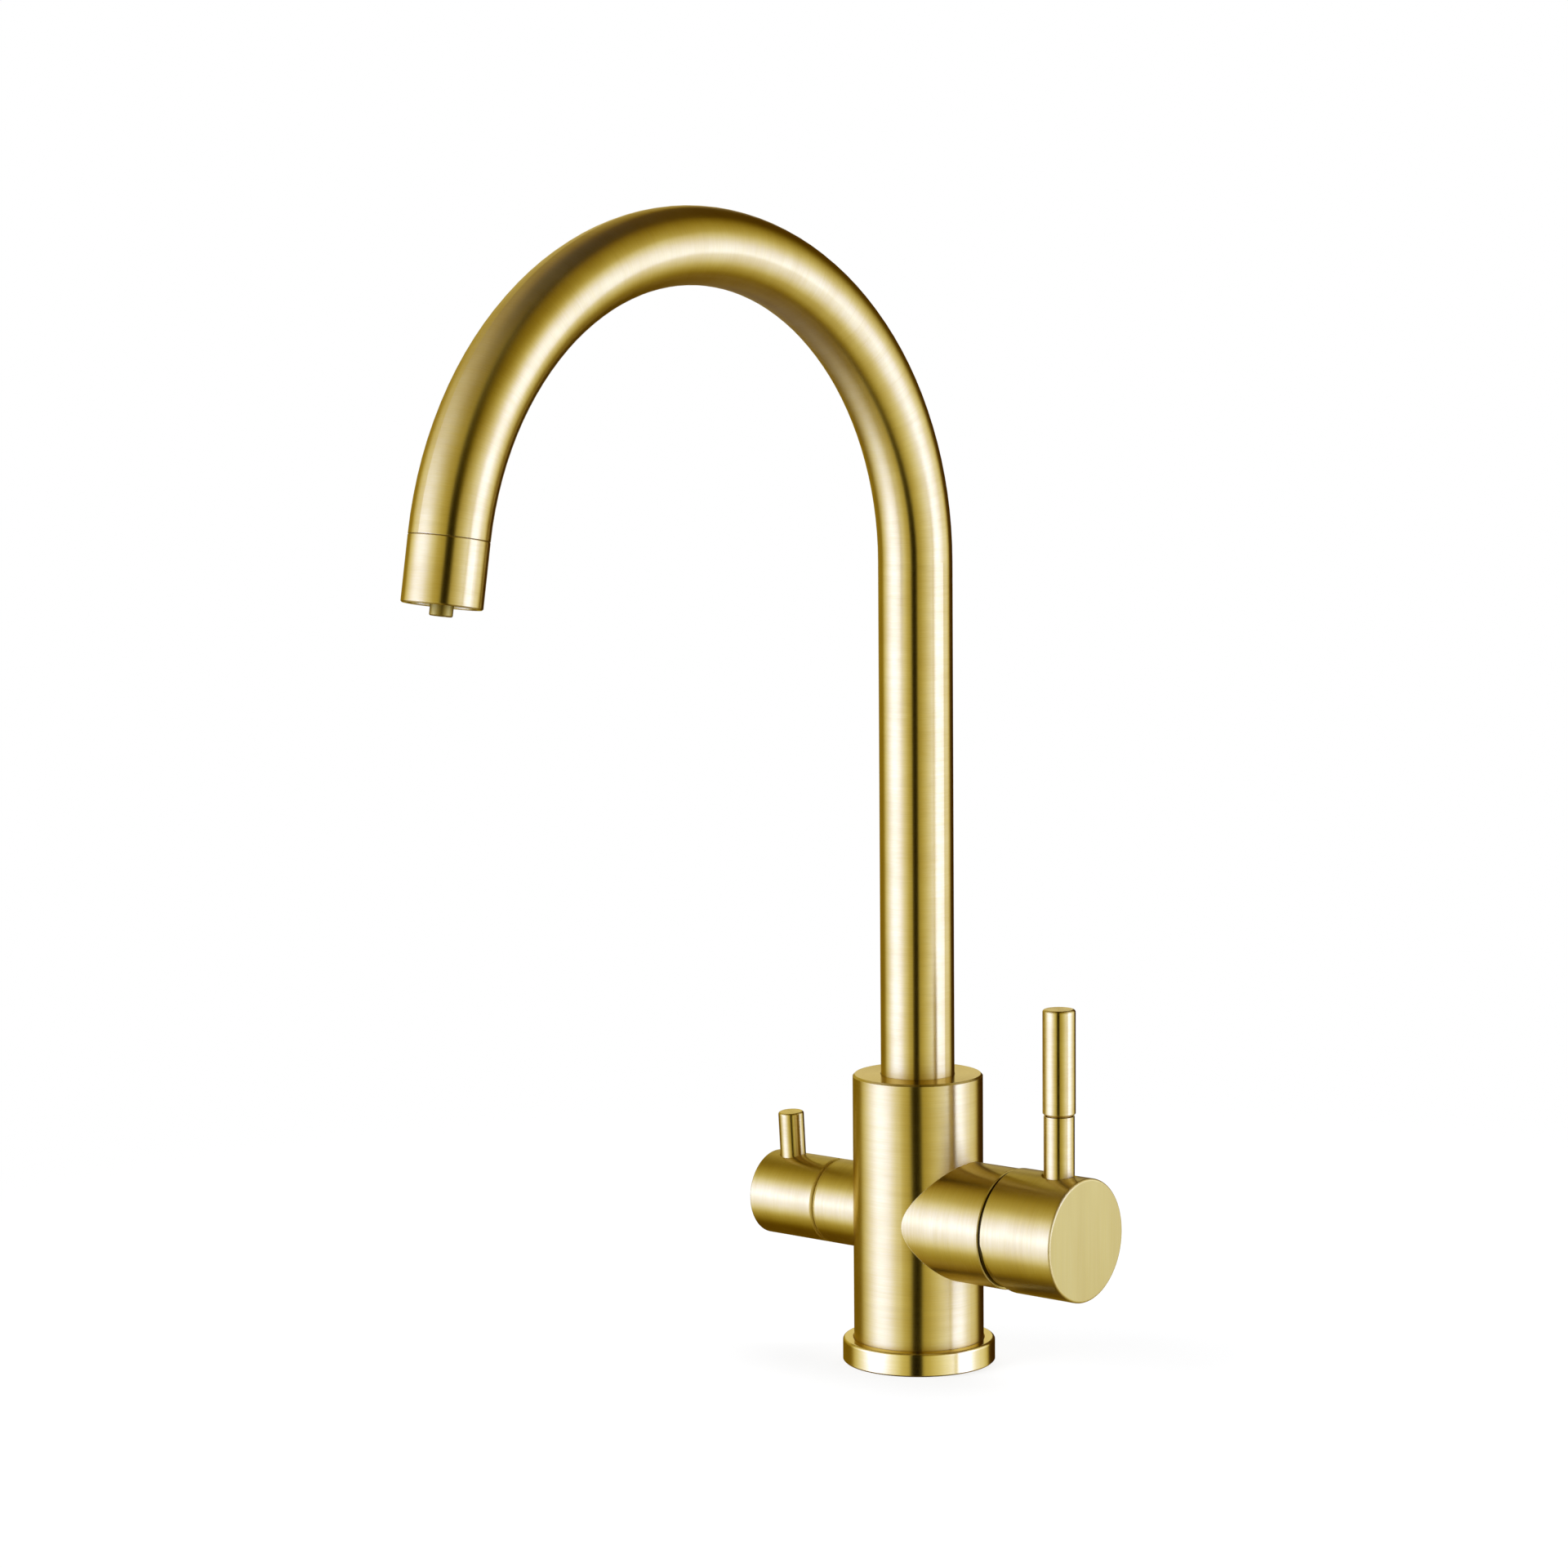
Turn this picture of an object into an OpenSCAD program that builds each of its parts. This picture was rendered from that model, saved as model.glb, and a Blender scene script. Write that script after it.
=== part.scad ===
// Deck-mounted three-way kitchen tap: a mixer for hot and cold water on the right of the body,
// a quarter-turn valve for filtered water on the left, and a swivelling swan-neck spout that
// carries both waters to one outlet.
// Frame: +Z up, origin in the deck surface at the centre of the base, spout towards -Y,
// mixer valve on +X, filtered-water valve on -X. All sizes are millimetres.

/* [Base ring] */
// How far the ring stands out beyond the body, all round
ring_lip = 3.85; // [2.5:0.05:8]
// Height of the ring above the deck
ring_h = 8; // [6:0.5:14]
// Rounding of the ring's top edge
ring_round = 1; // [0.4:0.1:2]
// Chamfer of the ring's bottom edge
ring_chamfer = 0.5; // [0.2:0.1:0.8]
// Thickness of the ring's floor, under the body
ring_floor_t = 2; // [1.6:0.1:3]
// Width of the sealing gasket under the ring
gasket_w = 4; // [3:0.1:4.5]
// Thickness of the sealing gasket
gasket_t = 1.2; // [0.8:0.1:1.4]

/* [Body] */
// Diameter of the upright body
body_d = 44.3; // [43.6:0.1:50]
// Height of the body's flat top above the deck
body_top = 99; // [97:0.5:115]
// Chamfer round the body's top edge
body_chamfer = 0.7; // [0.3:0.1:1.5]
// Height of both valves' axis above the deck
valve_z = 50.5; // [48:0.5:52]
// Height of the floor of the socket that the spout turns in
socket_floor = 72; // [71:0.25:74]
// Radius of the bore that takes the stem of the spout's insert
stem_bore_r = 4.2; // [4:0.05:4.4]
// Depth of that bore below the floor of the socket
stem_bore_depth = 9; // [8:0.25:10]

/* [Water ways] */
// Distance of the hot and cold inlets from the middle of the body
inlet_y = 7; // [6.8:0.1:7.5]
// Distance of the filtered-water inlet from the middle of the body
filter_inlet_x = 10; // [10:0.1:10.5]
// Radius of the threaded inlets for M10 x 1 hoses
inlet_r = 4.5; // [4:0.1:4.6]
// Depth of the threaded inlets
inlet_depth = 14; // [10:0.5:18]
// Radius of the hot and cold water ways
inlet_way_r = 3; // [2:0.1:3.2]
// Radius of the mixed-water way
mixed_way_r = 2.8; // [2:0.1:2.9]
// Radius of the filtered-water ways
filter_way_r = 2.2; // [1.5:0.1:2.4]
// How far the cartridge's inlets lie below its axis
port_low = 3; // [2.5:0.1:3.5]
// How far the cartridge's outlet lies above its axis
port_high = 9; // [8.6:0.1:9.6]
// Distance of the mixed-water riser from the middle of the body
riser_x = 8.6; // [8.4:0.1:8.8]

/* [Spout] */
// Outer diameter of the spout's tube
tube_d = 25; // [24:0.1:27]
// Wall of the spout's tube
tube_wall = 1.2; // [0.8:0.1:1.4]
// Height at which the swan neck starts to bend
bend_z = 272.9; // [180:0.1:340]
// Radius of the bend at the tube's middle line
bend_r = 104.8; // [70:0.1:140]
// Angle through which the tube bends
bend_angle = 170.4; // [150:0.1:180]
// Swing of the spout to the left at rest
swing = 4.1; // [-90:0.1:90]
// Height of the tube's lower end above the floor of the socket
tube_lift = 12; // [11.5:0.25:13]
// Length of the insert's plug inside the tube
plug_len = 11; // [8:0.5:14]
// Radius of the insert's stem
stem_r = 4; // [3.6:0.05:4.1]
// Number of mixed-water holes through the insert
insert_holes = 6; // [3:1:8]
// Outer radius of the filtered-water tube inside the spout
inner_tube_r = 3.1; // [2.6:0.05:3.2]
// Wall of the filtered-water tube
inner_tube_wall = 0.9; // [0.5:0.05:1]

/* [Outlet] */
// Length of the outlet sleeve that shows
sleeve_len = 20.7; // [18:0.1:40]
// Wall of the outlet sleeve round the aerator
sleeve_wall = 2.1; // [1.6:0.1:2.6]
// Length of the sleeve's spigot inside the tube
spigot_len = 3.5; // [2:0.5:4]
// Depth of the aerator's face above the sleeve's end
aerator_recess = 0.8; // [0.3:0.1:2]
// Length of the aerator
aerator_len = 11; // [9:0.5:12]
// How far the filtered-water nozzle stands out of the sleeve
nozzle_out = 3; // [1:0.1:6]
// Radius of the nozzle's visible end
nozzle_r = 3.6; // [3:0.05:3.9]
// Depth of the nozzle's socket for the filtered-water tube
nozzle_socket = 3.5; // [2:0.5:4]
// Number of jets in the outer ring of the aerator
outer_jets = 24; // [12:1:28]
// Number of jets in the inner ring of the aerator
inner_jets = 16; // [8:1:18]
// Radius of one jet
jet_r = 0.5; // [0.3:0.05:0.6]

/* [Mixer housing] */
// Diameter of the fixed housing of the mixer valve
housing_d = 40.8; // [40.2:0.1:41.2]
// Distance of the housing's end from the middle of the body
housing_end = 40.4; // [39:0.1:46]
// Distance of the cartridge pocket's floor from the middle of the body
pocket_floor = 13; // [12.8:0.1:14]
// Nominal diameter of the ceramic cartridge
cartridge_d = 35; // [34.6:0.1:35.4]
// Thickness of the cartridge's base plate
base_plate_t = 4; // [3:0.1:4.5]
// Thickness of each ceramic disc
disc_t = 3; // [2.4:0.1:3.2]
// Thickness of the carrier on the moving disc
carrier_t = 4.2; // [3.8:0.1:4.6]
// Radius of the moving disc and its carrier
moving_disc_r = 11; // [10.5:0.1:11.2]
// Thickness of the rotor's flange
flange_t = 2.6; // [2:0.1:3]
// Radius of the rotor's neck
rotor_neck_r = 11.5; // [11.2:0.1:11.8]
// Length of the collar nut that holds the cartridge
collar_t = 4.3; // [3:0.1:4.5]
// Side of the square spindle
spindle_w = 8; // [7:0.1:8.4]
// Radius of the ball at the spindle's inner end
ball_r = 2.2; // [1.8:0.1:2.4]
// Radius of the spindle's pivot pin
pin_r = 2; // [1.5:0.1:2.2]
// Distance of the pivot pin behind the housing's end
pivot_back = 1.4; // [1:0.1:1.6]
// Clearance between the domed cover and the inside of the cap's rim
dome_gap = 0.1; // [0.05:0.05:0.3]
// Length of the domed cover beyond the pivot
dome_len = 9.5; // [8.5:0.1:9.8]
// Wall of the domed cover
dome_wall = 1.2; // [0.8:0.1:1.4]

/* [Mixer handle] */
// Diameter of the handle cap
cap_d = 41.6; // [41.4:0.1:44]
// Gap between the housing and the cap's rim
cap_gap = 1.5; // [1.3:0.1:2.5]
// Length of the cap, from its rim to its end face
cap_len = 28.4; // [26:0.1:36]
// Thickness of the cap's rim
cap_rim_t = 1; // [0.7:0.1:1.1]
// Wall of the cap beyond its rim
cap_wall = 3.3; // [2:0.1:4]
// Thickness of the cap's end wall
cap_end_t = 4; // [3:0.1:5]
// Rounding of the cap's outer edge
cap_round = 0.8; // [0.3:0.1:1.5]
// Depth of the slanting cut at the bottom of the rim
rim_cut = 4.75; // [4:0.05:5.5]
// How far below the axis that cut starts
rim_cut_start = 1.5; // [0.5:0.1:3]
// Distance of the lever from the cap's end face
lever_back = 11; // [10:0.1:12]
// Diameter of the lever's rod
rod_d = 10.3; // [8:0.1:10.8]
// Diameter of the grip sleeve on the rod
grip_d = 11; // [10.4:0.1:14]
// Height of the grip sleeve's lower edge above the valve's axis
grip_low = 40.8; // [30:0.1:60]
// Height of the lever's top above the valve's axis
lever_top = 76.5; // [66:0.1:110]
// Chamfer at the grip sleeve's lower edge
grip_chamfer = 0.9; // [0.3:0.1:1.2]
// Radius of the countersink round the lever's foot
spot_r = 6.2; // [5.8:0.1:6.6]

/* [Filter valve] */
// Diameter of the filtered-water valve's stub
stub_d = 29; // [28:0.1:32]
// Distance of the stub's end from the middle of the body
stub_end = 34.9; // [34:0.1:44]
// Distance of the valve pocket's floor from the middle of the body
filter_floor = 15; // [14.8:0.1:15.6]
// Radius of the threaded part of the valve
headwork_r = 9.9; // [9.5:0.1:10.4]
// How far the valve's two ports lie above and below its axis
filter_port = 5; // [4.8:0.1:5.1]
// Thickness of each disc of the filtered-water valve
filter_disc_t = 2.5; // [2:0.1:3]
// Radius of the filtered-water valve's spindle
filter_spindle_r = 4; // [3.4:0.1:4.4]
// Width across the flats of the valve's hexagon
filter_hex = 17; // [15:0.5:19]

/* [Filter knob] */
// Width of the groove between the stub and the knob
knob_gap = 0.6; // [0.5:0.05:1.5]
// Length of the knob
knob_len = 27.6; // [26:0.1:34]
// Distance of the pin lever from the knob's end face
pin_lever_back = 8.7; // [7.5:0.1:9.5]
// Diameter of the pin lever
pin_lever_d = 8.9; // [6:0.1:9.4]
// Height of the pin lever's top above the valve's axis
pin_lever_top = 29.5; // [24:0.1:50]
// Lean of the pin lever to the front at rest
filter_lean = 4; // [0:0.5:20]
// Rounding of the knob's outer edge
knob_round = 0.6; // [0.3:0.1:1.5]

/* [Deck fixing] */
// Thickness of the deck that the tap is shown clamped to
deck_t = 30; // [10:1:40]
// Distance of the mounting stud from the middle of the body
stud_x = 13; // [12.6:0.1:13.2]
// Radius of the M8 mounting stud
stud_r = 3.95; // [3.4:0.05:4]
// Length of the stud below the deck surface
stud_reach = 70; // [66:1:100]
// Outer radius of the horseshoe gasket and washer
shoe_r = 24; // [20:0.5:26]
// Half of the width of the horseshoe's slot, where the hoses pass
slot_half = 13; // [12.4:0.1:14]
// Distance of the slot's closed end from the middle of the body
slot_end = 6.5; // [5.5:0.1:7]
// Thickness of the rubber horseshoe
shoe_gasket_t = 2; // [1:0.5:4]
// Thickness of the steel horseshoe
shoe_t = 2.5; // [1.5:0.5:4]
// Width across the flats of the long nut
nut_hex = 12; // [11:0.5:12]
// Length of the long nut
nut_len = 25; // [12:1:28]

/* [Fits] */
// Radial clearance between two pieces that turn or slide on each other
run = 0.05; // [0.02:0.01:0.08]
// Gap between two pieces that are stacked or screwed together
seat = 0.05; // [0.02:0.01:0.08]
// Loose clearance between pieces that only pass each other
pass = 0.2; // [0.15:0.01:0.25]

/* [Hidden] */
$fn = 96;

// Colours
gold = "#c3ac66";
brass = "#b58a3c";
steel = "#b9bcc0";
rubber = "#2b2b2b";
ceramic = "#efece4";
plastic = "#e4e2da";
dark_plastic = "#5d6066";

// Extra depth with which a cut passes through a face
through = 1;

// Small chamfer of the machined edges
edge = 0.3;

// Body and base ring
body_r = body_d / 2;
ring_r = body_r + ring_lip;
ring_bore_r = 17;
gasket_mid_r = 21.6;

// Spout and its socket
tube_r = tube_d / 2;
tube_bore_r = tube_r - tube_wall;
socket_r = tube_r + 3 * run;
insert_r = tube_r - run;
tube_low = socket_floor + tube_lift;
insert_low = socket_floor + 2 * pass;
groove_depth = 1.6;
o_ring_groove_w = 2.2;
o_ring_land = 1;
insert_foot = 1.6;
o_ring_1 = insert_low + insert_foot;
o_ring_2 = o_ring_1 + o_ring_groove_w + o_ring_land;
screw_r = 2.45;
screw_tip_r = 1.2;
screw_groove_half = screw_tip_r + 0.2;
screw_z = o_ring_2 + o_ring_groove_w + o_ring_land + screw_groove_half;
glide_t = 1.3;
glide_h = 6;
glide_lip = 3;
glide_low = body_top - glide_lip - glide_h;
stem_floor_gap = 1;
stem_low = socket_floor - stem_bore_depth + stem_floor_gap;
stem_groove_w = 1.8;
stem_groove_d = 1.1;
stem_groove_z = socket_floor - 4;
screw_groove_d = 1.2;
inner_tube_low = tube_low + 3;
mixed_hole_ring = 7.6;
mixed_hole_r = 1.8;

// Outlet, along the tube's line from the end of the bend
sleeve_bore_r = tube_r - sleeve_wall;
sleeve_neck_r = sleeve_bore_r - 1;
aerator_low = sleeve_len - aerator_recess;
aerator_high = aerator_low - aerator_len;
aerator_seal_t = 1.5;
nozzle_bore_r = 4.2;
aerator_face_t = 2.4;

// Mixer valve, along +X from the middle of the body
housing_r = housing_d / 2;
cap_r = cap_d / 2;
cartridge_r = cartridge_d / 2 - 2 * run;
pocket_r = cartridge_r + 2 * pass - run;
shell_wall = 2.2;
chamber_r = cartridge_r - shell_wall;
fixed_x = pocket_floor + base_plate_t;
moving_x = fixed_x + disc_t;
carrier_x = moving_x + disc_t;
rotor_x = carrier_x + carrier_t + 2 * run;
rotor_step_x = rotor_x + flange_t;
skirt_len = 2.8;
skirt_inset = 2.2;
skirt_r = housing_r - skirt_inset;
skirt_t = 1.4;
collar_end_x = housing_end - skirt_len - pass;
shoulder_x = collar_end_x - collar_t;
shell_neck_wall = 2.4;
shell_neck_r = rotor_neck_r + run + shell_neck_wall;
shell_out = 0.6;
shell_end_x = housing_end + shell_out;
pivot_x = housing_end - pivot_back;
rotor_nose = 4.5;
rotor_end_x = pivot_x + rotor_nose;
ball_gap = 0.35;
ball_x = carrier_x + ball_r + ball_gap;
spindle_neck_end = 8.5;
spindle_square_x = pivot_x - spindle_neck_end;
slot_up = 7;
slot_down = 6;
slot_side_gap = 0.15;
pin_fit = 0.02;
pin_sink = 0.5;
rail_gap = 0.2;
rail_len = 12;
carrier_half = 9;
peg_r = 1.5;
peg_side = 11;
peg_low = 9;
peg_depth = 2.5;
seal_t = 1.2;
seal_w = 1.2;
dome_r = cap_r - cap_rim_t - dome_gap;
dome_end_x = pivot_x + dome_len;
dome_hole_r = 12.2;

// Mixer handle
rim_x = housing_end + cap_gap;
cap_end_x = rim_x + cap_len;
lever_x = cap_end_x - lever_back;
hub_r = 8;
hub_out = 11;
hub_x = pivot_x + hub_out;
rim_len = 10;
cap_step_x = rim_x + rim_len;
cap_floor_x = cap_end_x - cap_end_t;
spindle_past_lever = 3;
spindle_end_x = lever_x + spindle_past_lever;
rod_r = rod_d / 2;
grip_r = grip_d / 2;
foot_sink = 0.25;
foot_z = sqrt(pow(cap_r, 2) - pow(rod_r, 2)) - foot_sink;
lever_thread_r = 2.9;
spigot_r = 3.4;
grip_wall_top = 6;

// Filtered-water valve, along -X from the middle of the body
stub_r = stub_d / 2;
filter_pocket_r = headwork_r + run;
port_seal_t = 1;
filter_fixed_x = filter_floor + port_seal_t;
filter_moving_x = filter_fixed_x + filter_disc_t;
driver_x = filter_moving_x + filter_disc_t;
driver_t = 2.4;
headwork_wall = 1.6;
filter_disc_r = headwork_r - headwork_wall - 2 * run;
filter_chamber_r = filter_disc_r + 2 * run;
gland_x = driver_x + driver_t + 2 * run;
headwork_flange = 1.4;
headwork_flange_t = 1.2;
hex_t = 3.4;
nose_wall = 2.2;
nose_len = 2;
filter_groove_back = 3;
hex_low_x = stub_end + headwork_flange_t;
hex_high_x = hex_low_x + hex_t;
nose_r = filter_spindle_r + nose_wall;
nose_end_x = hex_high_x + nose_len;
filter_groove_x = gland_x + filter_groove_back;
filter_groove_w = 1.7;
filter_groove_d = 1.1;
knob_r = stub_r;
knob_x = stub_end + knob_gap;
knob_end_x = knob_x + knob_len;
knob_wall = 1.9;
knob_floor_gap = 2;
knob_floor_x = nose_end_x + knob_floor_gap;
pin_lever_x = knob_end_x - pin_lever_back;
pin_lever_r = pin_lever_d / 2;
pin_foot_sink = 0.15;
pin_foot_z = sqrt(pow(knob_r, 2) - pow(pin_lever_r, 2)) - pin_foot_sink;
filter_spindle_past_pin = 3.5;
filter_spindle_end_x = pin_lever_x + filter_spindle_past_pin;
flat_depth = 1;
flat_z = filter_spindle_r - flat_depth;
pin_thread_r = 2.4;

// Deck fixing
shoe_gasket_top = -deck_t;
shoe_top = shoe_gasket_top - shoe_gasket_t;
nut_top = shoe_top - shoe_t - seat;

// Points along an arc, for rounded edges in an outline
function arc(cx, cy, r, from, to, steps = 6) =
    [for (i = [0:steps]) let (a = from + (to - from) * i / steps) [cx + r * cos(a), cy + r * sin(a)]];

// Puts a piece drawn along +Z on the mixer valve's axis, +Z to the right
module mixer_axis() {
    translate([0, 0, valve_z])
        rotate([0, 90, 0])
            children();
}

// Puts a piece drawn along +Z on the filtered-water valve's axis, +Z to the left
module filter_axis() {
    translate([0, 0, valve_z])
        rotate([0, -90, 0])
            children();
}

// A round bar along X, from x0 to x1, above the valves' axis and to the back by side
module bar_x(x0, x1, r, above = 0, side = 0) {
    translate([x0, side, valve_z + above])
        rotate([0, 90, 0])
            cylinder(r = r, h = x1 - x0);
}

// A round bar upright from z0 to z1
module bar_z(z0, z1, r, x = 0, y = 0) {
    translate([x, y, z0])
        cylinder(r = r, h = z1 - z0);
}

// A tube or ring upright from z0 to z1
module ring_z(z0, z1, outer, inner) {
    translate([0, 0, z0])
        rotate_extrude()
            translate([inner, 0])
                square([outer - inner, z1 - z0]);
}

// An O-ring at height z that fills the space between a groove and a bore
module o_ring(z, groove_r, bore_r) {
    translate([0, 0, z])
        rotate_extrude()
            translate([(groove_r + bore_r) / 2, 0])
                circle(r = (bore_r - groove_r) / 2 - run / 2, $fn = 32);
}

// Turns the spout's pieces to where the spout stands at rest
module spout_place() {
    rotate([0, 0, -swing])
        children();
}

// Leans the filtered-water lever's pieces to where they stand at rest
module filter_place() {
    translate([0, 0, valve_z])
        rotate([filter_lean, 0, 0])
            translate([0, 0, -valve_z])
                children();
}

// Puts a piece drawn along +Z on the outlet's line, starting at the end of the bend
module outlet_place() {
    translate([0, -bend_r + bend_r * cos(bend_angle), bend_z + bend_r * sin(bend_angle)])
        rotate([bend_angle, 0, 0])
            children();
}

// The bend of a tube with the given outer and inner radius
module bend(outer, inner) {
    translate([0, -bend_r, bend_z])
        rotate([90, 0, 90])
            rotate_extrude(angle = bend_angle)
                translate([bend_r, 0])
                    difference() {
                        circle(r = outer);
                        circle(r = inner);
                    }
}

// The body: upright barrel, both valve housings and every water way, one machined casting
module faucet_body() {
    color(gold)
        difference() {
            union() {
                body_barrel();
                mixer_axis()
                    rotate_extrude()
                        polygon([
                            [0, 0],
                            [housing_r, 0],
                            [housing_r, housing_end - edge],
                            [housing_r - edge, housing_end],
                            [0, housing_end]
                        ]);
                filter_axis()
                    rotate_extrude()
                        polygon([
                            [0, 0],
                            [stub_r, 0],
                            [stub_r, stub_end - edge],
                            [stub_r - edge, stub_end],
                            [0, stub_end]
                        ]);
            }
            spout_socket();
            mixer_pocket();
            filter_pocket();
            hot_and_cold_ways();
            mixed_way();
            filtered_ways();
            bar_z(ring_floor_t - through, ring_floor_t + inlet_depth, stud_r + seat, stud_x);
        }
}

// Upright barrel with its chamfered top edge
module body_barrel() {
    rotate_extrude()
        polygon([
            [0, ring_floor_t],
            [body_r, ring_floor_t],
            [body_r, body_top - body_chamfer],
            [body_r - body_chamfer, body_top],
            [0, body_top]
        ]);
}

// Socket for the spout, with the groove of the glide ring and the hole of the locking screw
module spout_socket() {
    bar_z(socket_floor, body_top + through, socket_r);
    bar_z(glide_low, glide_low + glide_h, tube_r + run + glide_t + run);
    bar_z(socket_floor - stem_bore_depth, socket_floor + through, stem_bore_r);
    translate([0, 0, screw_z])
        rotate([-90, 0, 0])
            cylinder(r = screw_r + seat, h = body_r + through);
}

// Pocket for the cartridge, its collar and the skirt of the domed cover
module mixer_pocket() {
    bar_x(pocket_floor, housing_end + through, pocket_r);
    bar_x(shoulder_x, housing_end + through, skirt_r + seat);
    for (side = [-peg_side, peg_side])
        bar_x(pocket_floor - peg_depth, pocket_floor + through, peg_r + seat, -peg_low, side);
}

// Pocket for the filtered-water valve
module filter_pocket() {
    bar_x(-stub_end - through, -filter_floor, filter_pocket_r);
}

// Hot and cold water: threaded inlet, riser and cross bore to the cartridge
module hot_and_cold_ways() {
    for (side = [-inlet_y, inlet_y]) {
        bar_z(ring_floor_t - through, ring_floor_t + inlet_depth, inlet_r, 0, side);
        bar_z(ring_floor_t, valve_z - port_low, inlet_way_r, 0, side);
        bar_x(0, pocket_floor + through, inlet_way_r, -port_low, side);
        translate([0, side, valve_z - port_low])
            sphere(r = inlet_way_r);
    }
}

// Mixed water: cross bore from the cartridge and riser into the spout's socket
module mixed_way() {
    bar_x(riser_x, pocket_floor + through, mixed_way_r, port_high);
    translate([riser_x, 0, valve_z + port_high])
        sphere(r = mixed_way_r);
    bar_z(valve_z + port_high, socket_floor + through, mixed_way_r, riser_x);
}

// Filtered water: threaded inlet, riser to the valve, and the way on to the spout's stem
module filtered_ways() {
    bar_z(ring_floor_t - through, ring_floor_t + inlet_depth, inlet_r, -filter_inlet_x);
    bar_z(ring_floor_t, valve_z - filter_port, filter_way_r, -filter_inlet_x);
    translate([-filter_inlet_x, 0, valve_z - filter_port])
        sphere(r = filter_way_r);
    bar_x(-filter_floor - through, -filter_inlet_x, filter_way_r, -filter_port);
    bar_x(-filter_floor - through, 0, filter_way_r, filter_port);
    translate([0, 0, valve_z + filter_port])
        sphere(r = filter_way_r);
    bar_z(valve_z + filter_port, socket_floor, filter_way_r);
}

// Trim ring that the body stands in
module base_ring() {
    lead_w = 0.4;
    lead_h = 0.35;
    color(gold)
        difference() {
            rotate_extrude()
                polygon(concat(
                    [[ring_bore_r, 0], [ring_r - ring_chamfer, 0], [ring_r, ring_chamfer]],
                    arc(ring_r - ring_round, ring_h - ring_round, ring_round, 0, 90),
                    [[body_r + lead_w, ring_h], [body_r + seat, ring_h - lead_h], [body_r + seat, ring_floor_t],
                     [ring_bore_r, ring_floor_t]]
                ));
            ring_z(-through, gasket_t, gasket_mid_r + gasket_w / 2, gasket_mid_r - gasket_w / 2);
        }
}

// Rubber gasket in the groove under the ring, flush with the deck
module base_gasket() {
    color(rubber)
        ring_z(0, gasket_t - seat, gasket_mid_r + gasket_w / 2 - seat, gasket_mid_r - gasket_w / 2 + seat);
}

// Stud that is screwed into the body and passes through the deck, slotted below for a screwdriver
module mounting_stud() {
    top = ring_floor_t + inlet_depth - 0.7;
    chamfer = 0.8;
    driver_w = 1.2;
    driver_depth = 1.5;
    color(steel)
        difference() {
            translate([stud_x, 0, 0])
                rotate_extrude()
                    polygon([
                        [0, -stud_reach],
                        [stud_r - chamfer, -stud_reach],
                        [stud_r, -stud_reach + chamfer],
                        [stud_r, top - chamfer],
                        [stud_r - chamfer, top],
                        [0, top]
                    ]);
            translate([stud_x - stud_r, -driver_w / 2, -stud_reach - through])
                cube([2 * stud_r, driver_w, driver_depth + through]);
        }
}

// Outline of the horseshoe, open to the left for the hoses, with the stud's hole
module horseshoe_outline() {
    corner_r = 5;
    difference() {
        circle(r = shoe_r);
        translate([-shoe_r - through, -slot_half])
            square([shoe_r + through + slot_end - corner_r, 2 * slot_half]);
        translate([-shoe_r - through, -slot_half + corner_r])
            square([shoe_r + through + slot_end, 2 * (slot_half - corner_r)]);
        for (side = [-1, 1])
            translate([slot_end - corner_r, side * (slot_half - corner_r)])
                circle(r = corner_r);
        translate([stud_x, 0])
            circle(r = stud_r + pass);
    }
}

// Rubber horseshoe between the deck's underside and the steel one
module clamp_gasket() {
    color(rubber)
        translate([0, 0, shoe_top + seat])
            linear_extrude(height = shoe_gasket_t - seat)
                horseshoe_outline();
}

// Steel horseshoe washer that clamps the tap to the deck
module clamp_washer() {
    color(steel)
        translate([0, 0, shoe_top - shoe_t])
            linear_extrude(height = shoe_t)
                horseshoe_outline();
}

// Long nut on the stud
module clamp_nut() {
    corner_r = nut_hex / sqrt(3);
    bevel_w = 0.7;
    bevel_h = 0.5;
    over = 0.1;
    color(brass)
        translate([stud_x, 0, nut_top - nut_len])
            difference() {
                intersection() {
                    cylinder(r = corner_r, h = nut_len, $fn = 6);
                    rotate_extrude()
                        polygon([
                            [0, 0],
                            [corner_r - bevel_w, 0],
                            [corner_r + over, bevel_h],
                            [corner_r + over, nut_len - bevel_h],
                            [corner_r - bevel_w, nut_len],
                            [0, nut_len]
                        ]);
                }
                translate([0, 0, -through])
                    cylinder(r = stud_r + seat, h = nut_len + 2 * through);
            }
}

// The three water ports of the cartridge, as bars from x0 to x1
module mixer_ports(x0, x1, grow = 0) {
    for (side = [-inlet_y, inlet_y])
        bar_x(x0, x1, inlet_way_r + grow, -port_low, side);
    bar_x(x0, x1, mixed_way_r + grow, port_high);
}

// Base plate of the cartridge, with ports, seal seats and locating pegs
module cartridge_base() {
    color(plastic)
        difference() {
            union() {
                bar_x(pocket_floor + seat, fixed_x, cartridge_r);
                for (side = [-peg_side, peg_side])
                    bar_x(pocket_floor - peg_depth + pass, pocket_floor + 2 * seat, peg_r, -peg_low, side);
            }
            mixer_ports(pocket_floor - through, fixed_x + through);
            mixer_ports(pocket_floor - through, pocket_floor + seat + seal_t, seal_w);
        }
}

// Three rubber seals between the cartridge's base and the pocket's floor
module port_seals() {
    color(rubber)
        difference() {
            mixer_ports(pocket_floor + seat, pocket_floor + seal_t, seal_w - seat);
            mixer_ports(pocket_floor - through, fixed_x + through);
        }
}

// Fixed ceramic disc, with the three water ports
module fixed_disc() {
    color(ceramic)
        difference() {
            bar_x(fixed_x + seat, moving_x, chamber_r - run);
            mixer_ports(fixed_x - through, moving_x + through);
        }
}

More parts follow.
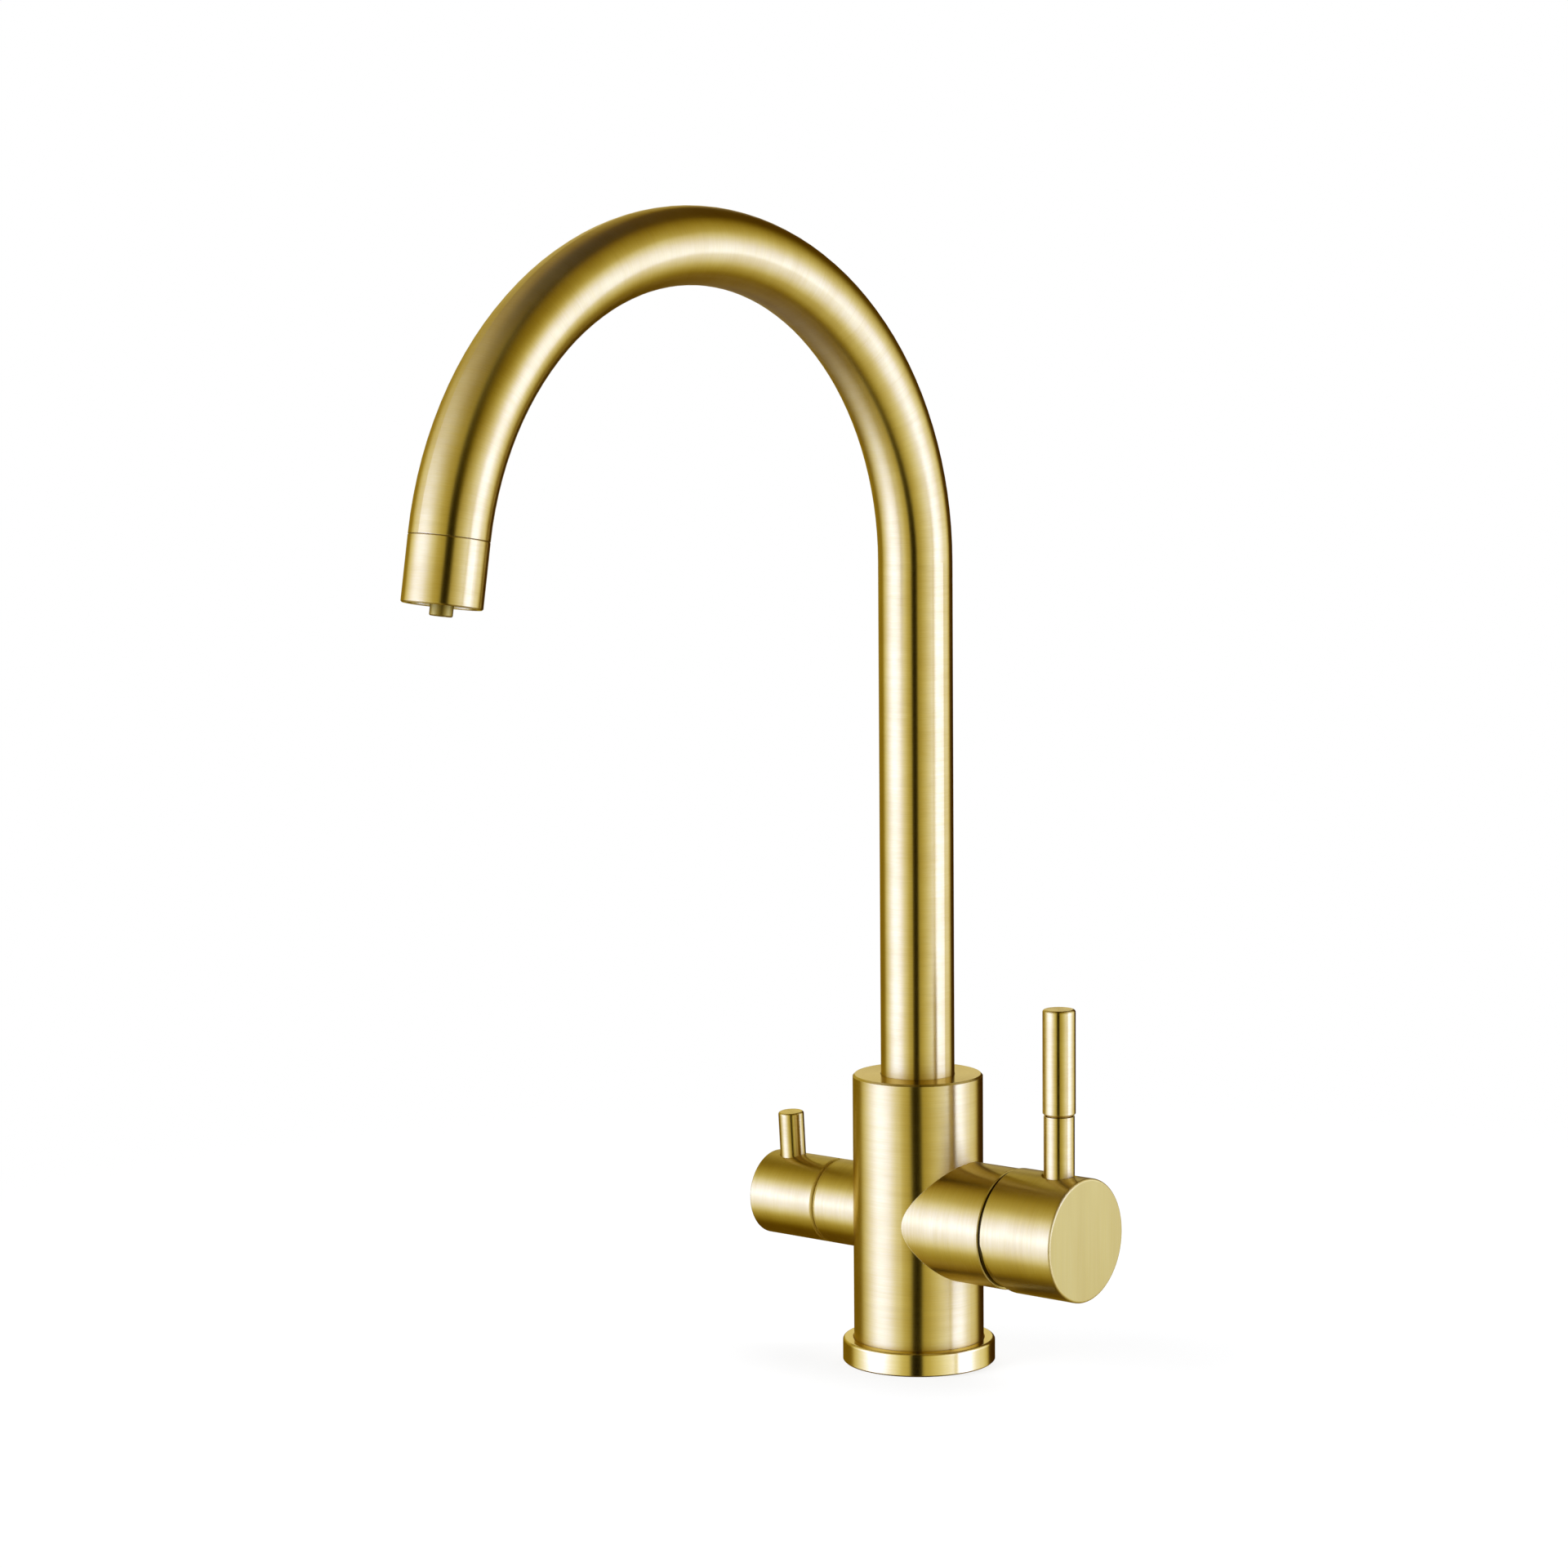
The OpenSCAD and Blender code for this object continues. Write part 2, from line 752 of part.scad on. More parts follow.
// Moving ceramic disc, with the hollow that joins the inlets to the outlet
module moving_disc() {
    bar_low = 9.6;
    bar_high = 6.4;
    bar_half = 5.2;
    stem_half = 3.2;
    stem_top = 8;
    hollow_share = 0.55;
    hollow_t = disc_t * hollow_share;
    color(ceramic)
        difference() {
            bar_x(moving_x + run, carrier_x, moving_disc_r);
            translate([moving_x - through, -bar_half, valve_z - bar_low])
                cube([through + hollow_t, 2 * bar_half, bar_low - bar_high]);
            translate([moving_x - through, -stem_half, valve_z - bar_low])
                cube([through + hollow_t, 2 * stem_half, bar_low + stem_top]);
        }
}

// Carrier that the spindle's ball pushes, with flats that slide between the rotor's rails
module disc_carrier() {
    color(dark_plastic)
        difference() {
            intersection() {
                bar_x(carrier_x + seat, carrier_x + carrier_t, moving_disc_r);
                translate([carrier_x - through, -carrier_half, valve_z - moving_disc_r - through])
                    cube([carrier_t + 2 * through, 2 * carrier_half, 2 * (moving_disc_r + through)]);
            }
            bar_x(carrier_x - through, carrier_x + carrier_t + through, ball_r + 2 * run);
        }
}

// Shell of the cartridge: chamber for the discs and a neck for the rotor
module cartridge_shell() {
    color(plastic)
        mixer_axis()
            rotate_extrude()
                polygon([
                    [chamber_r, fixed_x + seat],
                    [cartridge_r, fixed_x + seat],
                    [cartridge_r, shoulder_x - seat],
                    [shell_neck_r, shoulder_x - seat],
                    [shell_neck_r, shell_end_x],
                    [rotor_neck_r + run, shell_end_x],
                    [rotor_neck_r + run, rotor_step_x + 2 * run],
                    [chamber_r, rotor_step_x + 2 * run]
                ]);
}

// Brass collar nut that holds the cartridge down, with four spanner notches
module cartridge_collar() {
    notch_w = 4;
    notch_depth = 1.6;
    color(brass)
        difference() {
            bar_x(shoulder_x, collar_end_x, skirt_r);
            bar_x(shoulder_x - through, collar_end_x + through, shell_neck_r + pass / 2);
            for (turn = [45:90:315])
                translate([0, 0, valve_z])
                    rotate([turn, 0, 0])
                        translate([collar_end_x - notch_depth, -notch_w / 2, shell_neck_r + 1])
                            cube([through + notch_depth, notch_w, skirt_r]);
        }
}

// Domed cover on the housing's end; its dome is round the pivot, so the cap can tilt over it
module dome_cover() {
    web_t = 1.2;
    color(gold)
        mixer_axis()
            rotate_extrude()
                union() {
                    difference() {
                        intersection() {
                            translate([0, pivot_x])
                                circle(r = dome_r);
                            translate([dome_hole_r, housing_end + seat])
                                square([dome_r, dome_end_x - housing_end - seat]);
                        }
                        intersection() {
                            translate([0, pivot_x])
                                circle(r = dome_r - dome_wall);
                            translate([0, housing_end + seat + web_t])
                                square([dome_r, dome_end_x - housing_end - seat - 2 * web_t]);
                        }
                        translate([0, housing_end])
                            square([skirt_r - skirt_t, web_t + through]);
                    }
                    translate([skirt_r - skirt_t, housing_end - skirt_len])
                        square([skirt_t, skirt_len + web_t / 2]);
                }
}

// Rotor that turns in the shell's neck and carries the pivot pin and the rails of the disc carrier
module cartridge_rotor() {
    slot_half_w = spindle_w / 2 + slot_side_gap;
    rail_in = carrier_half + rail_gap;
    color(dark_plastic)
        difference() {
            union() {
                bar_x(rotor_x, rotor_step_x, chamber_r - run);
                bar_x(rotor_x, rotor_end_x, rotor_neck_r);
                intersection() {
                    bar_x(carrier_x + rail_gap, rotor_x + flange_t / 4, chamber_r - rail_gap);
                    for (side = [0, 180])
                        translate([0, 0, valve_z])
                            rotate([side, 0, 0])
                                translate([carrier_x, rail_in, -rail_len / 2])
                                    cube([carrier_t + through, chamber_r, rail_len]);
                }
            }
            translate([carrier_x, -slot_half_w, valve_z - slot_down])
                cube([rotor_end_x - carrier_x + through, 2 * slot_half_w, slot_down + slot_up]);
            translate([pivot_x, 0, valve_z])
                rotate([90, 0, 0])
                    cylinder(r = pin_r + pin_fit, h = 3 * rotor_neck_r, center = true);
        }
}

// Steel pin on which the spindle tilts, across the rotor
module pivot_pin() {
    color(steel)
        translate([pivot_x, 0, valve_z])
            rotate([90, 0, 0])
                cylinder(r = pin_r, h = 2 * (rotor_neck_r - pin_sink), center = true);
}

// Spindle: square outer end for the cap, bored for the pivot pin, with a ball at its inner end
module mixer_spindle() {
    neck_step = 0.6;
    neck_r = ball_r - neck_step;
    color(brass)
        difference() {
            union() {
                translate([ball_x, 0, valve_z])
                    sphere(r = ball_r);
                bar_x(ball_x, spindle_square_x + 1, neck_r);
                translate([spindle_square_x, -spindle_w / 2, valve_z - spindle_w / 2])
                    cube([spindle_end_x - spindle_square_x, spindle_w, spindle_w]);
            }
            translate([pivot_x, 0, valve_z])
                rotate([90, 0, 0])
                    cylinder(r = pin_r + run, h = 2 * spindle_w, center = true);
        }
}

// Handle cap: turned shell with a hub for the spindle and a boss for the lever
module handle_cap() {
    socket_w = spindle_w + 2 * seat;
    boss_r = hub_r - 1.2;
    color(gold)
        difference() {
            union() {
                mixer_axis()
                    rotate_extrude()
                        polygon(concat(
                            [[0, cap_floor_x], [cap_r - cap_wall, cap_floor_x], [cap_r - cap_wall, cap_step_x],
                             [cap_r - cap_rim_t, cap_step_x], [cap_r - cap_rim_t, rim_x], [cap_r, rim_x]],
                            arc(cap_r - cap_round, cap_end_x - cap_round, cap_round, 0, 90),
                            [[0, cap_end_x]]
                        ));
                bar_x(hub_x, cap_floor_x + 0.5, hub_r);
                translate([lever_x, 0, valve_z])
                    cylinder(r = boss_r, h = cap_r - cap_wall / 2);
            }
            translate([hub_x - through, -socket_w / 2, valve_z - socket_w / 2])
                cube([spindle_end_x + seat - hub_x + through, socket_w, socket_w]);
            translate([lever_x, 0, valve_z])
                cylinder(r = lever_thread_r + seat, h = cap_r + through);
            translate([lever_x, 0, valve_z + foot_z - seat])
                cylinder(r = rod_r + seat, h = 3);
            lever_countersink();
            rim_relief();
        }
}

// Cone cut round the lever's foot
module lever_countersink() {
    depth = spot_r - rod_r + 0.5;
    rise = 0.05;
    translate([lever_x, 0, valve_z + cap_r + rise])
        rotate_extrude()
            polygon([[0, 0], [spot_r, 0], [spot_r, through], [0, through]]);
    translate([lever_x, 0, valve_z + cap_r + rise - depth])
        cylinder(r1 = rod_r - edge, r2 = spot_r, h = depth);
}

// Slanting cut at the bottom of the cap's rim, which lets the cap tilt
module rim_relief() {
    translate([0, 0, valve_z])
        rotate([90, 0, 0])
            linear_extrude(height = 3 * cap_r, center = true)
                polygon([
                    [rim_x - through, -rim_cut_start],
                    [rim_x, -rim_cut_start],
                    [rim_x + rim_cut, -cap_r],
                    [rim_x + rim_cut, -cap_r - through],
                    [rim_x - through, -cap_r - through]
                ]);
}

// Rod of the lever: its thread locks the cap to the spindle, its spigot carries the grip
module lever_rod() {
    tip_z = spindle_w / 2 + seat;
    tip_chamfer = 0.5;
    color(gold)
        translate([lever_x, 0, valve_z])
            rotate_extrude()
                polygon([
                    [0, tip_z],
                    [lever_thread_r - tip_chamfer, tip_z],
                    [lever_thread_r, tip_z + tip_chamfer],
                    [lever_thread_r, foot_z],
                    [rod_r, foot_z],
                    [rod_r, grip_low - seat],
                    [spigot_r, grip_low - seat],
                    [spigot_r, lever_top - grip_wall_top],
                    [0, lever_top - grip_wall_top]
                ]);
}

// Grip sleeve pressed on the rod's spigot, chamfered below and slightly rounded on top
module lever_grip() {
    top_round = 0.9;
    bore_r = spigot_r + seat;
    color(gold)
        translate([lever_x, 0, valve_z])
            rotate_extrude()
                polygon(concat(
                    [[bore_r, grip_low], [grip_r - grip_chamfer, grip_low], [grip_r, grip_low + grip_chamfer]],
                    arc(grip_r - top_round, lever_top - top_round, top_round, 0, 90),
                    [[0, lever_top], [0, lever_top - grip_wall_top + seat],
                     [bore_r, lever_top - grip_wall_top + seat]]
                ));
}

// The two water ports of the filtered-water valve
module filter_ports(x0, x1, grow = 0) {
    for (above = [-filter_port, filter_port])
        bar_x(-x1, -x0, filter_way_r + grow, above);
}

// Rubber disc seal on the pocket's floor
module filter_port_seal() {
    color(rubber)
        difference() {
            bar_x(-filter_fixed_x, -filter_floor - seat, filter_disc_r);
            filter_ports(filter_floor - through, filter_fixed_x + through);
        }
}

// Fixed ceramic disc of the filtered-water valve
module filter_fixed_disc() {
    color(ceramic)
        difference() {
            bar_x(-filter_moving_x, -filter_fixed_x - seat, filter_disc_r);
            filter_ports(filter_floor - through, filter_moving_x + through);
        }
}

// Moving ceramic disc: its hollow joins the two ports after a quarter turn
module filter_moving_disc() {
    hollow_half = filter_port + filter_way_r - 0.4;
    hollow_w = 3.4;
    color(ceramic)
        filter_place()
            difference() {
                bar_x(-driver_x, -filter_moving_x - run, filter_disc_r);
                translate([-filter_moving_x - filter_disc_t / 2, -hollow_half, valve_z - hollow_w / 2])
                    cube([filter_disc_t, 2 * hollow_half, hollow_w]);
            }
}

// Brass headwork of the filtered-water valve, with its hexagon and nose
module filter_headwork() {
    color(brass)
        difference() {
            union() {
                bar_x(-stub_end - seat, -filter_fixed_x - seat, headwork_r);
                bar_x(-hex_low_x, -stub_end - seat, headwork_r + headwork_flange);
                hex_x(-hex_high_x, -hex_low_x + 0.1);
                bar_x(-nose_end_x, -hex_high_x + 0.1, nose_r);
            }
            bar_x(-gland_x, -filter_floor, filter_chamber_r);
            bar_x(-nose_end_x - through, -gland_x + through, filter_spindle_r + run);
        }
}

// Hexagon along X, from x0 to x1
module hex_x(x0, x1) {
    translate([x0, 0, valve_z])
        rotate([0, 90, 0])
            cylinder(r = filter_hex / sqrt(3), h = x1 - x0, $fn = 6);
}

// Spindle of the filtered-water valve: driver, O-ring groove and flatted end
module filter_spindle() {
    color(brass)
        filter_place()
            difference() {
                filter_axis()
                    rotate_extrude()
                        polygon([
                            [0, driver_x + seat],
                            [filter_disc_r, driver_x + seat],
                            [filter_disc_r, driver_x + driver_t],
                            [filter_spindle_r, driver_x + driver_t],
                            [filter_spindle_r, filter_groove_x],
                            [filter_spindle_r - filter_groove_d, filter_groove_x],
                            [filter_spindle_r - filter_groove_d, filter_groove_x + filter_groove_w],
                            [filter_spindle_r, filter_groove_x + filter_groove_w],
                            [filter_spindle_r, filter_spindle_end_x],
                            [0, filter_spindle_end_x]
                        ]);
                translate([-filter_spindle_end_x - through, -filter_spindle_r, valve_z + flat_z])
                    cube([filter_spindle_end_x - knob_floor_x + through, 2 * filter_spindle_r, 2]);
            }
}

// O-ring in the spindle's groove
module filter_o_ring() {
    color(rubber)
        filter_place()
            filter_axis()
                o_ring(
                    filter_groove_x + filter_groove_w / 2,
                    filter_spindle_r - filter_groove_d,
                    filter_spindle_r + run
                );
}

// Knob of the filtered-water valve, bored for the spindle's flatted end
module filter_knob() {
    socket_r_knob = filter_spindle_r + seat;
    color(gold)
        filter_place()
            difference() {
                filter_axis()
                    rotate_extrude()
                        polygon(concat(
                            [[0, knob_floor_x], [knob_r - knob_wall, knob_floor_x], [knob_r - knob_wall, knob_x],
                             [knob_r - edge, knob_x], [knob_r, knob_x + edge]],
                            arc(knob_r - knob_round, knob_end_x - knob_round, knob_round, 0, 90),
                            [[0, knob_end_x]]
                        ));
                intersection() {
                    bar_x(-filter_spindle_end_x - seat, -knob_floor_x + through, socket_r_knob);
                    translate([-knob_end_x, -knob_r, valve_z - knob_r])
                        cube([knob_len, 2 * knob_r, knob_r + flat_z + seat]);
                }
                translate([-pin_lever_x, 0, valve_z])
                    cylinder(r = pin_thread_r + seat, h = knob_r + through);
                translate([-pin_lever_x, 0, valve_z + pin_foot_z - seat])
                    cylinder(r = pin_lever_r + seat, h = 3);
            }
}

// Pin lever of the filtered-water valve; its thread locks the knob to the spindle
module filter_lever() {
    top_round = 0.8;
    color(gold)
        filter_place()
            translate([-pin_lever_x, 0, valve_z])
                rotate_extrude()
                    polygon(concat(
                        [[0, flat_z + 2 * seat], [pin_thread_r, flat_z + 2 * seat], [pin_thread_r, pin_foot_z],
                         [pin_lever_r, pin_foot_z]],
                        arc(pin_lever_r - top_round, pin_lever_top - top_round, top_round, 0, 90),
                        [[0, pin_lever_top]]
                    ));
}

// Swan-neck tube: straight riser and bend, hollow all the way
module spout_tube() {
    color(gold)
        spout_place()
            union() {
                ring_z(tube_low, bend_z, tube_r, tube_bore_r);
                bend(tube_r, tube_bore_r);
            }
}

// Brass insert in the tube's lower end: seals in the socket and keeps the two waters apart
module spout_insert() {
    head_groove_r = insert_r - groove_depth;
    stem_chamfer = 0.4;
    color(brass)
        spout_place()
            difference() {
                rotate_extrude()
                    polygon([
                        [0, stem_low],
                        [stem_r - stem_chamfer, stem_low],
                        [stem_r, stem_low + stem_chamfer],
                        [stem_r, stem_groove_z],
                        [stem_r - stem_groove_d, stem_groove_z],
                        [stem_r - stem_groove_d, stem_groove_z + stem_groove_w],
                        [stem_r, stem_groove_z + stem_groove_w],
                        [stem_r, insert_low],
                        [insert_r, insert_low],
                        [insert_r, o_ring_1],
                        [head_groove_r, o_ring_1],
                        [head_groove_r, o_ring_1 + o_ring_groove_w],
                        [insert_r, o_ring_1 + o_ring_groove_w],
                        [insert_r, o_ring_2],
                        [head_groove_r, o_ring_2],
                        [head_groove_r, o_ring_2 + o_ring_groove_w],
                        [insert_r, o_ring_2 + o_ring_groove_w],
                        [insert_r, screw_z - screw_groove_half],
                        [insert_r - screw_groove_d, screw_z - screw_groove_half],
                        [insert_r - screw_groove_d, screw_z + screw_groove_half],
                        [insert_r, screw_z + screw_groove_half],
                        [insert_r, tube_low - seat],
                        [tube_bore_r - seat, tube_low - seat],
                        [tube_bore_r - seat, tube_low + plug_len],
                        [0, tube_low + plug_len]
                    ]);
                bar_z(stem_low - through, inner_tube_low + through, inner_tube_r - inner_tube_wall);
                bar_z(inner_tube_low, tube_low + plug_len + through, inner_tube_r + seat);
                for (i = [0:insert_holes - 1])
                    rotate([0, 0, i * 360 / insert_holes])
                        bar_z(insert_low - through, tube_low + plug_len + through, mixed_hole_r, mixed_hole_ring);
            }
}

// Two O-rings on the insert's head
module spout_o_rings() {
    color(rubber)
        spout_place()
            for (z = [o_ring_1, o_ring_2])
                o_ring(z + o_ring_groove_w / 2, insert_r - groove_depth, socket_r);
}

// O-ring on the insert's stem, which seals the filtered water
module stem_o_ring() {
    color(rubber)
        spout_place()
            o_ring(stem_groove_z + stem_groove_w / 2, stem_r - stem_groove_d, stem_bore_r);
}

// Split plastic ring in the socket's groove, which guides the tube
module glide_ring() {
    split_w = 2;
    color(plastic)
        difference() {
            ring_z(glide_low + seat, glide_low + glide_h - seat, tube_r + run + glide_t, tube_r + run);
            translate([-split_w / 2, 0, glide_low - through])
                cube([split_w, body_r, glide_h + 2 * through]);
        }
}

// Locking screw at the back of the body; its tip runs in the insert's groove
module spout_screw() {
    tip_y = insert_r - 1;
    shank_y = socket_r + 0.6;
    end_y = body_r - 0.5;
    hex_key = 2.5;
    hex_depth = 2.5;
    chamfer = 0.4;
    color(steel)
        translate([0, 0, screw_z])
            rotate([-90, 0, 0])
                difference() {
                    rotate_extrude()
                        polygon([
                            [0, tip_y],
                            [screw_tip_r, tip_y],
                            [screw_tip_r, shank_y],
                            [screw_r, shank_y + screw_r - screw_tip_r],
                            [screw_r, end_y - chamfer],
                            [screw_r - chamfer, end_y],
                            [0, end_y]
                        ]);
                    translate([0, 0, end_y - hex_depth])
                        cylinder(r = hex_key / sqrt(3), h = hex_depth + through, $fn = 6);
                }
}

// Filtered-water tube, from the insert through the spout to the nozzle's socket
module filtered_tube() {
    bore = inner_tube_r - inner_tube_wall;
    color(plastic)
        spout_place()
            union() {
                ring_z(inner_tube_low + seat, bend_z, inner_tube_r, bore);
                bend(inner_tube_r, bore);
            }
}

// Outlet sleeve: closes the tube's end and holds the aerator
module outlet_sleeve() {
    spigot_r_out = tube_bore_r - pass / 2;
    shoulder = aerator_high - aerator_seal_t;
    lip = 0.4;
    color(gold)
        spout_place()
            outlet_place()
                rotate_extrude()
                    polygon([
                        [sleeve_neck_r, -spigot_len],
                        [spigot_r_out, -spigot_len],
                        [spigot_r_out, seat],
                        [tube_r - edge, seat],
                        [tube_r, seat + edge],
                        [tube_r, sleeve_len - lip],
                        [tube_r - lip, sleeve_len],
                        [sleeve_bore_r + edge, sleeve_len],
                        [sleeve_bore_r, sleeve_len - edge],
                        [sleeve_bore_r, shoulder - seat],
                        [sleeve_neck_r, shoulder - seat]
                    ]);
}

// Flat rubber washer above the aerator
module aerator_seal() {
    seal_w_flat = 2;
    color(rubber)
        spout_place()
            outlet_place()
                ring_z(aerator_high - aerator_seal_t, aerator_high - seat, sleeve_bore_r - seat, sleeve_bore_r - seal_w_flat);
}

// Aerator: a ring-shaped jet plate round the filtered-water nozzle
module aerator() {
    outer = sleeve_bore_r - seat;
    face = aerator_low - aerator_face_t;
    inner_wall = nozzle_bore_r + 1;
    outer_wall = 1.2;
    outer_ring = outer - 2.2;
    inner_ring = inner_wall + 0.9;
    color(dark_plastic)
        spout_place()
            outlet_place()
                difference() {
                    ring_z(aerator_high, aerator_low, outer, nozzle_bore_r);
                    ring_z(aerator_high - through, face, outer - outer_wall, inner_wall);
                    jets(outer_jets, outer_ring, face);
                    jets(inner_jets, inner_ring, face);
                }
}

// A ring of jets through the aerator's face
module jets(count, ring_radius, face) {
    for (i = [0:count - 1])
        rotate([0, 0, i * 360 / count])
            bar_z(face - through, face + aerator_face_t + through, jet_r, ring_radius);
}

// Nozzle of the filtered water, in the middle of the aerator
module filter_nozzle() {
    end = sleeve_len + nozzle_out;
    bore = inner_tube_r - inner_tube_wall;
    shoulder = aerator_low - 3;
    color(gold)
        spout_place()
            outlet_place()
                rotate_extrude()
                    polygon([
                        [inner_tube_r + pass / 2, -nozzle_socket],
                        [nozzle_bore_r - seat, -nozzle_socket],
                        [nozzle_bore_r - seat, shoulder],
                        [nozzle_r, shoulder],
                        [nozzle_r, end - edge],
                        [nozzle_r - edge, end],
                        [bore, end],
                        [bore, seat],
                        [inner_tube_r + pass / 2, seat]
                    ]);
}

faucet_body();
base_ring();
base_gasket();
mounting_stud();
clamp_gasket();
clamp_washer();
clamp_nut();
cartridge_base();
port_seals();
fixed_disc();
cartridge_shell();
cartridge_collar();
dome_cover();
cartridge_rotor();
pivot_pin();
moving_disc();
disc_carrier();
mixer_spindle();
handle_cap();
lever_rod();
lever_grip();
filter_headwork();
filter_port_seal();
filter_fixed_disc();
filter_moving_disc();
filter_spindle();
filter_o_ring();
filter_knob();
filter_lever();
spout_tube();
spout_insert();
spout_o_rings();
stem_o_ring();
glide_ring();
spout_screw();
filtered_tube();
outlet_sleeve();
aerator_seal();
aerator();
filter_nozzle();
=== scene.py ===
"""Looks of the three-way kitchen faucet: finishes, the stud's thread, studio and camera.

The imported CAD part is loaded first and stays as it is. Body, Spout, Outlet, MixerValve, MixerHandle,
FilterValve and DeckFixing each dress one sub-assembly, and DeckFixing also cuts the stud's thread, which
its solid leaves out. Studio sets the floor, the lights and the camera. Sizes are in millimetres, as in the
part's source, and are turned into metres where a mesh or a node is made.
"""

from __future__ import annotations

import logging
import math
from collections.abc import Callable
from dataclasses import dataclass
from enum import Enum

import bmesh
import bpy
from mathutils import Matrix, Vector


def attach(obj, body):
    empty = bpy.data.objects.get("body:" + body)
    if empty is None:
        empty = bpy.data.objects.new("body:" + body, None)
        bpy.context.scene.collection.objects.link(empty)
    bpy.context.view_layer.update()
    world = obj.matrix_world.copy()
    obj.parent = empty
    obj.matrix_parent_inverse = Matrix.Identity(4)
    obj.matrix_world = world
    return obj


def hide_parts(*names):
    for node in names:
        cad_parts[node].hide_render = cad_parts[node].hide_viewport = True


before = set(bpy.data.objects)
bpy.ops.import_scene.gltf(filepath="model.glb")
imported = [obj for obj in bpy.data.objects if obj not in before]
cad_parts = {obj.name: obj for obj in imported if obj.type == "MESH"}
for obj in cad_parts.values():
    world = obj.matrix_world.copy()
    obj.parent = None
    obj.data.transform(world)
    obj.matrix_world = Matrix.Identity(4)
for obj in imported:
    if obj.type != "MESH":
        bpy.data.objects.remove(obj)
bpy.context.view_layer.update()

MM = 0.001
log = logging.getLogger("faucet")

ANGLES = "angles"
WHITE = (1.0, 1.0, 1.0)

Triple = tuple[float, float, float]
Socket = bpy.types.NodeSocket


class Math(Enum):
    """Operations of a Math node that the finishes use."""

    ADD = "ADD"
    SUBTRACT = "SUBTRACT"
    MULTIPLY = "MULTIPLY"
    DIVIDE = "DIVIDE"
    POWER = "POWER"
    MAXIMUM = "MAXIMUM"
    MINIMUM = "MINIMUM"
    ABSOLUTE = "ABSOLUTE"
    ANGLE = "ARCTAN2"
    GREATER = "GREATER_THAN"
    MULTIPLY_ADD = "MULTIPLY_ADD"


class Turn(Enum):
    """Operations of a Vector Math node that the finishes use."""

    ADD = "ADD"
    SUBTRACT = "SUBTRACT"
    SCALE = "SCALE"
    DOT = "DOT_PRODUCT"
    CROSS = "CROSS_PRODUCT"
    LENGTH = "LENGTH"
    UNIT = "NORMALIZE"


class Kind(Enum):
    """What a Mix node blends, in the order of the node's sockets."""

    VALUE = "FLOAT"
    VECTOR = "VECTOR"
    COLOUR = "RGBA"


class Blend(Enum):
    """The ways in which colours are blended."""

    OVER = "MIX"
    TIMES = "MULTIPLY"


